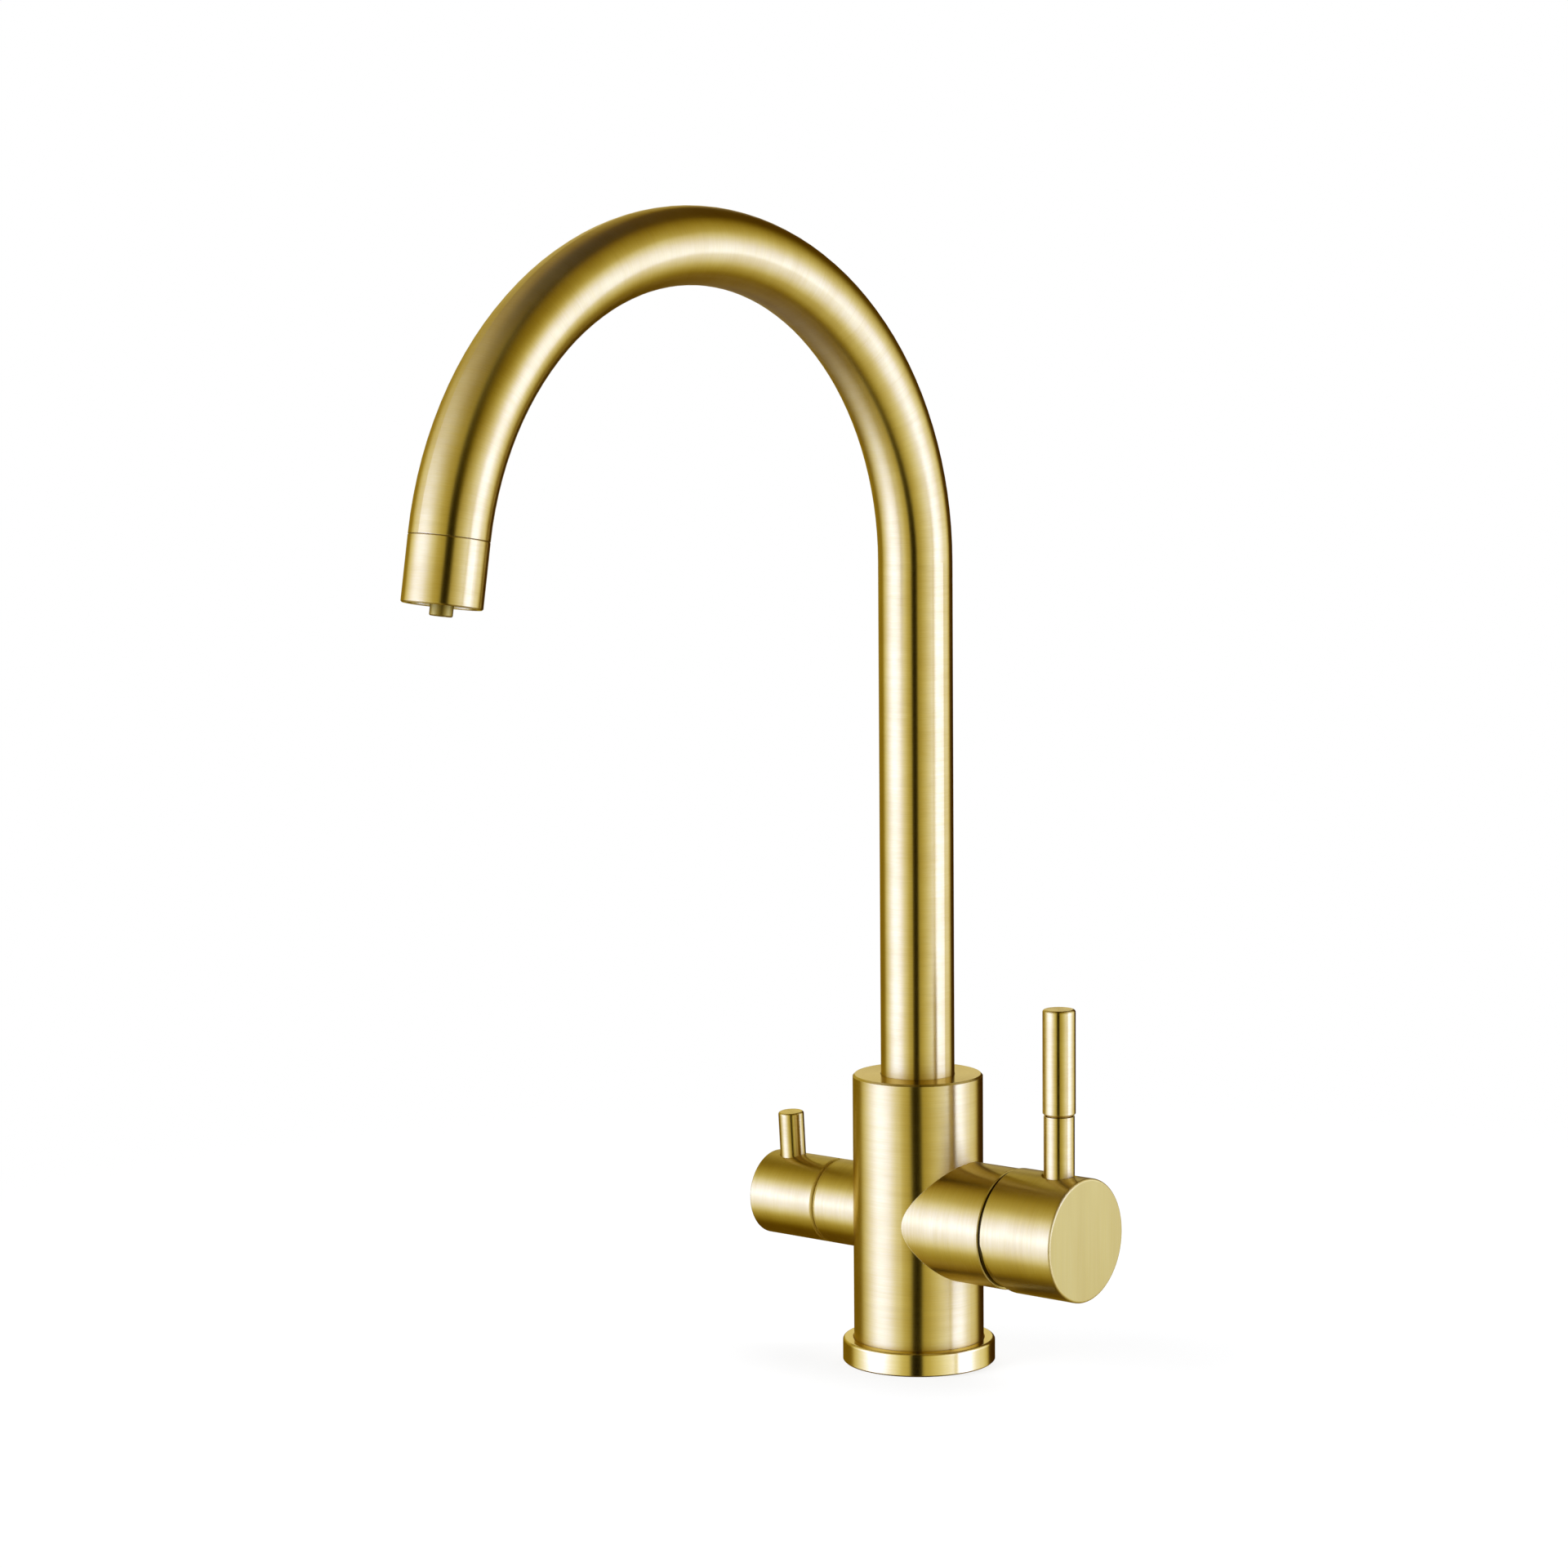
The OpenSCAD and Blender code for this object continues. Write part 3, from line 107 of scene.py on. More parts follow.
class Graph:
    """Adds nodes to one node tree and joins them, so that a finish reads like its recipe.

    Its constants lay the nodes out in rows, for whoever opens the tree in Blender.
    """

    PER_ROW = 9
    COLUMN_WIDTH = 180
    ROW_HEIGHT = 220

    def __init__(self, tree: bpy.types.NodeTree) -> None:
        """Starts on the tree of a material, a node group or the world."""
        self.tree = tree
        self.count = 0

    def node(self, kind: str, **settings: object) -> bpy.types.Node:
        """Adds one node.

        Args:
            kind: the node's type name.
            settings: attributes to set on it.

        Returns:
            The new node.
        """
        made = self.tree.nodes.new(kind)
        row, column = divmod(self.count, self.PER_ROW)
        made.location = (self.COLUMN_WIDTH * column, -self.ROW_HEIGHT * row)
        self.count += 1
        for key, value in settings.items():
            setattr(made, key, value)
        return made

    def feed(self, socket: Socket, value: object) -> None:
        """Links a socket to another one, or sets its value.

        Args:
            socket: the input to feed.
            value: an output socket, a number, a vector or a colour, or None to leave the socket alone.
        """
        if isinstance(value, bpy.types.NodeSocket):
            self.tree.links.new(value, socket)
        elif value is not None:
            socket.default_value = (*value, 1.0) if socket.type == "RGBA" else value

    def fill(self, made: bpy.types.Node, **given: object) -> bpy.types.Node:
        """Feeds a node's inputs.

        Args:
            made: the node.
            given: its inputs by name, with _ for a space.

        Returns:
            The same node.
        """
        for key, value in given.items():
            self.feed(made.inputs[key.replace("_", " ")], value)
        return made

    def group(self, tree: bpy.types.NodeTree, **given: object) -> bpy.types.Node:
        """Places a node group and feeds its inputs by name, with _ for a space."""
        return self.fill(self.node("ShaderNodeGroup", node_tree=tree), **given)

    def show(self, shader: Socket, output: str = "ShaderNodeOutputMaterial") -> None:
        """Makes a shader the one that the material or the world shows."""
        self.feed(self.node(output).inputs["Surface"], shader)

    def mix(self, share: Socket, first: Socket, second: Socket) -> Socket:
        """Mixes two shaders.

        Args:
            share: how much of the second one, from 0 to 1.
            first: the first shader.
            second: the second shader.

        Returns:
            The mixed shader's socket.
        """
        made = self.node("ShaderNodeMixShader")
        for socket, value in zip(made.inputs, (share, first, second)):
            self.feed(socket, value)
        return made.outputs[0]

    def vector(self, x: object, y: object, z: object = 0.0) -> Socket:
        """Joins three parts, sockets or numbers, into a vector."""
        return self.fill(self.node("ShaderNodeCombineXYZ"), X=x, Y=y, Z=z).outputs[0]

    def parts(self, vector: Socket) -> tuple[Socket, Socket, Socket]:
        """Splits a vector into its three parts."""
        return tuple(self.fill(self.node("ShaderNodeSeparateXYZ"), Vector=vector).outputs)

    def math(
        self, operation: Math, a: object, b: object = None, c: object = None, clamp: bool = False
    ) -> Socket:
        """Adds a Math node.

        Args:
            operation: what it works out.
            a: its first value, a socket or a number.
            b: its second value, if it takes one.
            c: its third value, if it takes one.
            clamp: whether the result is kept between 0 and 1.

        Returns:
            The result's socket.
        """
        made = self.node("ShaderNodeMath", operation=operation.value, use_clamp=clamp)
        for socket, value in zip(made.inputs, (a, b, c)):
            self.feed(socket, value)
        return made.outputs[0]

    def turn(self, operation: Turn, a: object, b: object = None, scale: object = None) -> Socket:
        """Adds a Vector Math node.

        Args:
            operation: what it works out.
            a: its first vector, a socket or a tuple.
            b: its second vector, if it takes one.
            scale: the number that it multiplies the vector by, if it does.

        Returns:
            The vector's socket, or the value's for a length or a dot product.
        """
        made = self.node("ShaderNodeVectorMath", operation=operation.value)
        for socket, value in zip(made.inputs, (a, b, None, scale)):
            self.feed(socket, value)
        is_value = operation in (Turn.DOT, Turn.LENGTH)
        return made.outputs["Value" if is_value else "Vector"]

    def scaled(self, vector: object, by: object) -> Socket:
        """Multiplies a vector by a number."""
        return self.turn(Turn.SCALE, vector, scale=by)

    def away(self, value: Socket, middle: float) -> Socket:
        """Measures how far a value lies from a middle."""
        return self.math(Math.ABSOLUTE, self.math(Math.SUBTRACT, value, middle))

    def step(
        self, value: Socket, low: float, high: float, to_low: float = 0.0, to_high: float = 1.0
    ) -> Socket:
        """Adds a smooth step from one result to another.

        Args:
            value: what decides.
            low: the value where the step begins.
            high: the value where it ends.
            to_low: the result where it begins.
            to_high: the result where it ends.

        Returns:
            The result's socket.
        """
        made = self.node("ShaderNodeMapRange", interpolation_type="SMOOTHSTEP")
        self.fill(made, Value=value, From_Min=low, From_Max=high, To_Min=to_low, To_Max=to_high)
        return made.outputs["Result"]

    def blend(
        self, share: object, a: object, b: object, kind: Kind = Kind.COLOUR, how: Blend = Blend.OVER
    ) -> Socket:
        """Blends two colours, vectors or values.

        Args:
            share: how much of the second one, from 0 to 1.
            a: the first one.
            b: the second one.
            kind: which of them they are.
            how: the way in which colours are blended.

        Returns:
            The result's socket.
        """
        made = self.node("ShaderNodeMix", data_type=kind.value, blend_type=how.value)
        place = list(Kind).index(kind)
        ends = made.inputs[2 * place + 2 : 2 * place + 4]
        for socket, value in zip((made.inputs[0], *ends), (share, a, b)):
            self.feed(socket, value)
        return made.outputs[place]

    def overlay(
        self, socket: Socket, share: object, value: object, kind: Kind = Kind.COLOUR, how: Blend = Blend.OVER
    ) -> None:
        """Blends a share of a colour or a value over what a socket is already linked to."""
        self.feed(socket, self.blend(share, socket.links[0].from_socket, value, kind, how))

    def noise(self, vector: Socket, detail: float = 2.0, rough: float = 0.5) -> Socket:
        """Adds a noise texture, whose features are about one unit apart.

        Args:
            vector: where it is read.
            detail: how many finer layers it has.
            rough: how strong they are.

        Returns:
            The socket of its value, which lies around one half.
        """
        made = self.node("ShaderNodeTexNoise")
        self.fill(made, Vector=vector, Scale=1.0, Detail=detail, Roughness=rough)
        return made.outputs["Fac"]


def new_group(
    name: str,
    inputs: dict[str, str],
    outputs: dict[str, str],
) -> tuple[Graph, dict[str, Socket], bpy.types.Node]:
    """Starts a shader node group with named sockets.

    Args:
        name: the group's name.
        inputs: input names and their socket types.
        outputs: output names and their socket types.

    Returns:
        The graph, the inputs by name, and the group's output node.
    """
    tree = bpy.data.node_groups.new(name, "ShaderNodeTree")
    for names, side in ((inputs, "INPUT"), (outputs, "OUTPUT")):
        for key, kind in names.items():
            tree.interface.new_socket(key, in_out=side, socket_type="NodeSocket" + kind)
    graph = Graph(tree)
    entry = graph.node("NodeGroupInput")
    leave = graph.node("NodeGroupOutput")
    return graph, {key: entry.outputs[key] for key in inputs}, leave


class Effects:
    """The node groups that several finishes share, each made once.

    The first constants are how much coarser than the fine lines each layer of the brushing is, and how much
    coarser than the grain the mottling is. BROAD_SHARE is the broadest layer's share of the streaks, and the
    pairs are where a mask begins and where it is full.
    """

    WIDE = 0.23
    BROAD = 0.09
    SCRATCHES = 0.55
    TONE_ALONG = 0.012
    TONE_AROUND = 0.5
    MOTTLE = 0.06
    BROAD_SHARE = 0.4
    BEVEL_SAMPLES = 6
    SCRATCH_AT = (0.68, 0.78)
    WORN_AT = (0.995, 0.9)
    PATCHES_AT = (0.3, 0.6)

    def __init__(self) -> None:
        """Builds every group."""
        self.round_piece = self._round_piece()
        self.brushing = self._brushing()
        self.edge_wear = self._edge_wear()
        self.speckle = self._speckle()

    @staticmethod
    def _round_piece() -> bpy.types.NodeTree:
        """Where a point lies on a turned piece.

        Returns:
            A group for the direction round the axis and the distance along the surface.
        """
        g, given, out = new_group(
            "round_piece",
            {"Position": "Vector", "Origin": "Vector", "Axis": "Vector"},
            {"Around": "Vector", "Along": "Float"},
        )
        arm = g.turn(Turn.SUBTRACT, given["Position"], given["Origin"])
        along = g.turn(Turn.DOT, arm, given["Axis"])
        across = g.turn(Turn.SUBTRACT, arm, g.scaled(given["Axis"], along))
        surface = g.math(Math.ADD, along, g.turn(Turn.LENGTH, across))
        g.fill(out, Around=g.turn(Turn.UNIT, across), Along=surface)
        return g.tree

    @staticmethod
    def _brushing() -> bpy.types.NodeTree:
        """Fine lines left by brushing round a piece.

        Returns:
            A group for fine grain, wider streaks, a slow change of tone, and single scratches.
        """
        g, given, out = new_group(
            "brushing",
            {"Around": "Vector", "Along": "Float", "Axis": "Vector", "Lines": "Float", "Length": "Float"},
            {"Grain": "Float", "Streak": "Float", "Tone": "Float", "Scratch": "Float"},
        )
        run = g.math(Math.MULTIPLY, given["Along"], given["Lines"])
        along = g.scaled(given["Axis"], run)
        around = g.scaled(given["Around"], given["Length"])
        lines = g.turn(Turn.ADD, along, around)
        wide = g.noise(g.scaled(lines, Effects.WIDE), rough=0.6)
        broad = g.noise(g.scaled(lines, Effects.BROAD), detail=1.0)
        slow = g.turn(Turn.ADD, g.scaled(along, Effects.TONE_ALONG), g.scaled(around, Effects.TONE_AROUND))
        single = g.noise(g.scaled(lines, Effects.SCRATCHES), detail=1.0)
        g.fill(
            out,
            Grain=g.noise(lines, detail=3.0, rough=0.65),
            Streak=g.blend(Effects.BROAD_SHARE, wide, broad, Kind.VALUE),
            Tone=g.noise(slow),
            Scratch=g.step(single, *Effects.SCRATCH_AT),
        )
        return g.tree

    @staticmethod
    def _edge_wear() -> bpy.types.NodeTree:
        """Worn edges.

        Returns:
            A group for a normal rounded at sharp edges, and for how much of the finish is polished there.
        """
        g, given, out = new_group(
            "edge_wear",
            {"Radius": "Float", "Break up": "Float"},
            {"Normal": "Vector", "Wear": "Float"},
        )
        bevel = g.fill(g.node("ShaderNodeBevel", samples=Effects.BEVEL_SAMPLES), Radius=given["Radius"])
        rounded = bevel.outputs["Normal"]
        lean = g.turn(Turn.DOT, rounded, g.node("ShaderNodeNewGeometry").outputs["Normal"])
        worn = g.step(lean, *Effects.WORN_AT)
        patches = g.step(given["Break up"], *Effects.PATCHES_AT)
        g.fill(out, Normal=rounded, Wear=g.math(Math.MULTIPLY, worn, patches, clamp=True))
        return g.tree

    @staticmethod
    def _speckle() -> bpy.types.NodeTree:
        """Surface of moulded, fired or rubber pieces.

        Returns:
            A group for its grain and for slow mottling.
        """
        g, given, out = new_group(
            "speckle",
            {"Position": "Vector", "Grain size": "Float"},
            {"Grain": "Float", "Mottle": "Float"},
        )
        small = g.scaled(given["Position"], g.math(Math.DIVIDE, 1.0, given["Grain size"]))
        grain = g.noise(small, detail=3.0, rough=0.6)
        g.fill(out, Grain=grain, Mottle=g.noise(g.scaled(small, Effects.MOTTLE)))
        return g.tree


@dataclass(frozen=True)
class Turning:
    """The line that a piece was turned and brushed round, in millimetres."""

    origin: Triple
    axis: Triple

    def start(self) -> Triple:
        """The line's origin in metres."""
        return tuple(MM * x for x in self.origin)


def blank_material(name: str) -> tuple[bpy.types.Material, Graph]:
    """Makes a material without nodes.

    Args:
        name: the material's name.

    Returns:
        The material and its graph.
    """
    material = bpy.data.materials.new(name)
    material.use_nodes = True
    material.node_tree.nodes.clear()
    return material, Graph(material.node_tree)


def new_material(name: str) -> tuple[bpy.types.Material, Graph, bpy.types.Node]:
    """Makes a material with an empty Principled shader.

    Args:
        name: the material's name.

    Returns:
        The material, its graph and its shader.
    """
    material, graph = blank_material(name)
    shader = graph.node("ShaderNodeBsdfPrincipled")
    graph.show(shader.outputs[0])
    return material, graph, shader


def lines_round(g: Graph, place: bpy.types.Node, origin: Socket, axis: Socket) -> Socket:
    """Finds the direction, in the object's space, in which highlights stretch on lines round an axis."""
    arm = g.turn(Turn.SUBTRACT, place.outputs["Object"], origin)
    return g.turn(Turn.CROSS, place.outputs["Normal"], g.turn(Turn.CROSS, axis, arm))


@dataclass(frozen=True)
class TurnedMetal:
    """A metal with fine lines round the piece, which stretch its highlights along the piece.

    Colour and shade are the two tones that it wanders between, worn is the colour of fine grain and
    polished edges, grime lies in the streaks, and rim tints what it reflects at grazing angles; the shares
    say how much of each there is at most. Lines is how many fine lines go into a metre, and arc how long
    they are round the piece. Depth and wear_radius are in millimetres. Wander, worn_rough and scratch_rough
    are changes of roughness, and flat_cut is how much smoother a flat face across the axis is. The pairs
    are where a mask begins and where it is full, and STREAK_BUMP is the streaks' share of the relief.
    """

    TONE_AT = (0.3, 0.7)
    GRIME_AT = (0.32, 0.68)
    GRAIN_AT = (0.35, 0.65)
    ROUGH_AT = (0.3, 0.7)
    FLAT_AT = (0.93, 0.98)
    STREAK_BUMP = 0.6

    colour: Triple
    shade: Triple
    worn: Triple
    roughness: float
    anisotropy: float
    lines: float
    depth: float
    arc: float = 2.6
    grime: Triple = (0.45, 0.42, 0.36)
    rim: Triple = (0.80, 0.70, 0.42)
    wear_radius: float = 0.25
    grime_share: float = 0.05
    grain_share: float = 0.10
    worn_share: float = 0.85
    wander: float = 0.015
    worn_rough: float = 0.10
    scratch_rough: float = 0.012
    flat_cut: float = 0.45
    bump: float = 0.5

    def begin(
        self, name: str, effects: Effects, turning: Turning
    ) -> tuple[bpy.types.Material, Graph, bpy.types.Node, bpy.types.Node]:
        """Makes the finish on a piece that is turned round one line, for more to be laid over it.

        Args:
            name: the material's name.
            effects: the shared node groups.
            turning: the line that the piece was turned round.

        Returns:
            The material, its graph, its shader and its Texture Coordinate node.
        """
        material, g, shader = new_material(name)
        place = g.node("ShaderNodeTexCoord")
        self.dress(g, shader, effects, place, g.vector(*turning.start()), g.vector(*turning.axis))
        return material, g, shader, place

    def material(self, name: str, effects: Effects, turning: Turning) -> bpy.types.Material:
        """Makes the finish on a piece that is turned round one line."""
        return self.begin(name, effects, turning)[0]

    def dress(
        self,
        g: Graph,
        shader: bpy.types.Node,
        effects: Effects,
        place: bpy.types.Node,
        origin: Socket,
        axis: Socket,
    ) -> None:
        """Feeds the shader for lines round an axis that may change over the piece.

        Flat faces across the axis are smoother than the turned sides.

        Args:
            g: the material's graph.
            shader: its Principled shader.
            effects: the shared node groups.
            place: its Texture Coordinate node.
            origin: a point of the axis.
            axis: the axis's direction.
        """
        spot = g.group(effects.round_piece, Position=place.outputs["Object"], Origin=origin, Axis=axis)
        around, distance = spot.outputs
        facing = g.math(Math.ABSOLUTE, g.turn(Turn.DOT, place.outputs["Normal"], axis))
        flat = g.step(facing, *self.FLAT_AT)
        self.finish(g, shader, effects, around, distance, axis, lines_round(g, place, origin, axis), flat)

    def finish(
        self,
        g: Graph,
        shader: bpy.types.Node,
        effects: Effects,
        around: Socket,
        distance: Socket,
        axis: Socket,
        stretch: Socket,
        flat: object = 0.0,
    ) -> None:
        """Feeds colour, roughness, normal and the direction in which highlights stretch.

        Args:
            g: the material's graph.
            shader: its Principled shader.
            effects: the shared node groups.
            around: unit direction from the piece's middle line to the surface.
            distance: metres along the piece.
            axis: unit vector that the distance is laid along in the pattern.
            stretch: direction in which highlights stretch, in the object's space.
            flat: how far the spot lies on a flat face that was cut smoother, from 0 to 1.
        """
        brush = g.group(
            effects.brushing, Around=around, Along=distance, Axis=axis, Lines=self.lines, Length=self.arc
        )
        grain, streak, tone, scratch = brush.outputs
        normal, wear = g.group(effects.edge_wear, Radius=self.wear_radius * MM, Break_up=tone).outputs
        base = g.blend(g.step(tone, *self.TONE_AT), self.shade, self.colour)
        grime = g.step(streak, *self.GRIME_AT, 0.0, self.grime_share)
        base = g.blend(grime, base, self.grime, how=Blend.TIMES)
        base = g.blend(g.step(grain, *self.GRAIN_AT, 0.0, self.grain_share), base, self.worn)
        base = g.blend(g.math(Math.MULTIPLY, wear, self.worn_share), base, self.worn)
        rough = g.step(streak, *self.ROUGH_AT, self.roughness - self.wander, self.roughness + self.wander)
        rough = g.math(Math.MULTIPLY, rough, g.math(Math.MULTIPLY_ADD, flat, -self.flat_cut, 1.0))
        rough = g.math(Math.MULTIPLY_ADD, wear, self.worn_rough, rough)
        rough = g.math(Math.MULTIPLY_ADD, scratch, self.scratch_rough, rough)
        height = g.blend(self.STREAK_BUMP, grain, streak, Kind.VALUE)
        bump = g.node("ShaderNodeBump")
        g.fill(bump, Strength=self.bump, Distance=self.depth * MM, Height=height, Normal=normal)
        world = g.node(
            "ShaderNodeVectorTransform", vector_type="VECTOR", convert_from="OBJECT", convert_to="WORLD"
        )
        g.fill(
            shader,
            Base_Color=base,
            Roughness=rough,
            Metallic=1.0,
            Anisotropic=self.anisotropy,
            Specular_Tint=self.rim,
            Normal=bump.outputs[0],
            Tangent=g.fill(world, Vector=stretch).outputs[0],
        )


@dataclass(frozen=True)
class Moulded:
    """Plastic, rubber or ceramic: a base colour with a fine grain and slow mottling.

    Fleck is the colour of its grain and mottling, grain and depth are in millimetres, and flecks is the
    grain's share. Smoother and rougher are changes of roughness. The pairs are where a mask begins and
    where it is full.
    """

    FLECK_AT = (0.5, 0.72)
    MOTTLE_AT = (0.3, 0.7)

    colour: Triple
    fleck: Triple
    roughness: float
    grain: float
    depth: float
    flecks: float = 0.25
    mottling: float = 0.25
    smoother: float = 0.05
    rougher: float = 0.06
    bump: float = 0.4

    def material(self, name: str, effects: Effects) -> bpy.types.Material:
        """Makes the material.

        Args:
            name: the material's name.
            effects: the shared node groups.

        Returns:
            The material.
        """
        material, g, shader = new_material(name)
        place = g.node("ShaderNodeTexCoord").outputs["Object"]
        grain, mottle = g.group(effects.speckle, Position=place, Grain_size=self.grain * MM).outputs
        flecks = g.math(Math.MULTIPLY, g.step(grain, *self.FLECK_AT), self.flecks)
        base = g.blend(flecks, self.colour, self.fleck)
        mottling = g.step(mottle, *self.MOTTLE_AT, 0.0, self.mottling)
        base = g.blend(mottling, base, self.fleck, how=Blend.TIMES)
        low, high = self.roughness - self.smoother, self.roughness + self.rougher
        rough = g.step(mottle, *self.MOTTLE_AT, low, high)
        bump = g.node("ShaderNodeBump")
        g.fill(bump, Strength=self.bump, Distance=self.depth * MM, Height=grain)
        g.fill(shader, Base_Color=base, Roughness=rough, Normal=bump.outputs[0])
        return material


GOLD = TurnedMetal(
    colour=(0.64, 0.50, 0.165),
    shade=(0.60, 0.455, 0.14),
    worn=(0.86, 0.78, 0.52),
    roughness=0.30,
    anisotropy=0.94,
    lines=8000.0,
    depth=0.006,
)
# Painted light: the base ring's gold is paler and brighter than the body's, to brighten its reflections.
RING_GOLD_PAINTED_LIGHT = TurnedMetal(
    colour=(0.74, 0.60, 0.24),
    shade=(0.70, 0.555, 0.205),
    worn=(0.86, 0.78, 0.52),
    roughness=0.22,
    anisotropy=0.88,
    lines=8000.0,
    depth=0.004,
)
# Painted shade: the nozzle's gold is much darker than the body's and stands for the shade that it lies in
# under the outlet.
NOZZLE_GOLD_PAINTED_SHADE = TurnedMetal(
    colour=(0.37, 0.265, 0.045),
    shade=(0.30, 0.21, 0.033),
    worn=(0.50, 0.38, 0.11),
    roughness=0.44,
    anisotropy=0.3,
    lines=6000.0,
    depth=0.008,
)
BRASS = TurnedMetal(
    colour=(0.70, 0.47, 0.17),
    shade=(0.58, 0.37, 0.12),
    worn=(0.80, 0.62, 0.32),
    roughness=0.34,
    anisotropy=0.6,
    lines=5000.0,
    depth=0.008,
)
STEEL = TurnedMetal(
    colour=(0.60, 0.61, 0.62),
    shade=(0.47, 0.48, 0.50),
    worn=(0.75, 0.75, 0.75),
    roughness=0.32,
    anisotropy=0.5,
    lines=5000.0,
    depth=0.006,
)
RUBBER = Moulded((0.018, 0.018, 0.019), (0.05, 0.05, 0.052), 0.62, 0.18, 0.02)
CERAMIC = Moulded((0.84, 0.82, 0.76), (0.70, 0.67, 0.60), 0.16, 0.3, 0.002)
ACETAL = Moulded((0.80, 0.79, 0.74), (0.72, 0.71, 0.66), 0.42, 0.35, 0.01)
NYLON = Moulded((0.085, 0.088, 0.095), (0.16, 0.16, 0.17), 0.48, 0.22, 0.012)

UP = (0.0, 0.0, 1.0)
BACK = (0.0, 1.0, 0.0)
RIGHT = (1.0, 0.0, 0.0)
VALVE_Z = 50.5
BODY_LINE = Turning((0.0, 0.0, 0.0), UP)
VALVE_LINE = Turning((0.0, 0.0, VALVE_Z), RIGHT)


class Stock:
    """The node groups and the plain materials that several sub-assemblies share, each made once."""

    def __init__(self) -> None:
        """Makes the groups, then the materials."""
        self.effects = Effects()
        self.rubber = RUBBER.material("rubber", self.effects)
        self.acetal = ACETAL.material("acetal", self.effects)
        self.nylon = NYLON.material("nylon", self.effects)
        self.ceramic = CERAMIC.material("ceramic", self.effects)


def paint(material: bpy.types.Material, *names: str) -> None:
    """Gives CAD pieces a finish, in every slot that their mesh has.

    Args:
        material: the finish.
        names: the pieces.
    """
    for name in names:
        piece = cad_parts[name]
        if not piece.material_slots:
            piece.data.materials.append(material)
        for slot in piece.material_slots:
            slot.material = material
        log.info("dressed %s in %s", name, material.name)


def new_piece(name: str, mesh: bmesh.types.BMesh, smooth: bool = True) -> bpy.types.Object:
    """Turns an edited mesh into an object of the scene.

    Args:
        name: the piece's name.
        mesh: the edited mesh, in metres; it is freed.
        smooth: whether its faces are shaded smooth.

    Returns:
        The new object.
    """
    data = bpy.data.meshes.new(name)
    for face in mesh.faces:
        face.smooth = smooth
    mesh.to_mesh(data)
    mesh.free()
    piece = bpy.data.objects.new(name, data)
    bpy.context.scene.collection.objects.link(piece)
    return piece


@dataclass(frozen=True)
class Groove:
    """A matt band on both sides of a seam across X, whose brighter, olive colour is a painted reflection of
    the light that a rounded groove catches. Its place and sizes are in millimetres.
    """

    middle: float = -35.2
    half: float = 1.0
    soft: float = 0.25
    roughness: float = 0.75
    colour: Triple = (0.82, 0.63, 0.15)

    def lay(self, g: Graph, shader: bpy.types.Node, along: Socket) -> None:
        """Lays the band over a finish.

        Args:
            g: the material's graph.
            shader: its Principled BSDF, already dressed.
            along: the place along X.
        """
        away = g.away(along, self.middle * MM)
        inside = g.step(away, self.half * MM, (self.half + self.soft) * MM, 1.0, 0.0)
        # Painted reflection: the band's colour stands for the light that a rounded groove catches; its
        # roughness makes it matt.
        g.overlay(shader.inputs["Base Color"], inside, self.colour)
        g.overlay(shader.inputs["Roughness"], inside, self.roughness, Kind.VALUE)


@dataclass
class Body:
    """Upright body with both valve housings, and the ring it stands in."""

    radius: float = 22.15
    margin: float = 0.03

    def dress(self, stock: Stock) -> None:
        """Brushes the barrel round its own axis and both housings round theirs.

        Args:
            stock: the shared groups and materials.
        """
        # The ring's gold carries painted light: it is paler and brighter than the body's.
        paint(RING_GOLD_PAINTED_LIGHT.material("brushed_gold_ring_painted_light", stock.effects, BODY_LINE), "base_ring")
        paint(stock.rubber, "base_gasket")
        material, g, shader = new_material("brushed_gold_body")
        place = g.node("ShaderNodeTexCoord")
        x, y, _ = g.parts(place.outputs["Object"])
        reach = g.turn(Turn.LENGTH, g.vector(x, y))
        on_housing = g.math(Math.GREATER, reach, (self.radius + self.margin) * MM)
        axis = g.blend(on_housing, BODY_LINE.axis, VALVE_LINE.axis, Kind.VECTOR)
        origin = g.blend(on_housing, BODY_LINE.start(), VALVE_LINE.start(), Kind.VECTOR)
        GOLD.dress(g, shader, stock.effects, place, origin, axis)
        # The matt band at the seam carries a painted reflection.
        Groove().lay(g, shader, x)
        paint(material, "faucet_body")


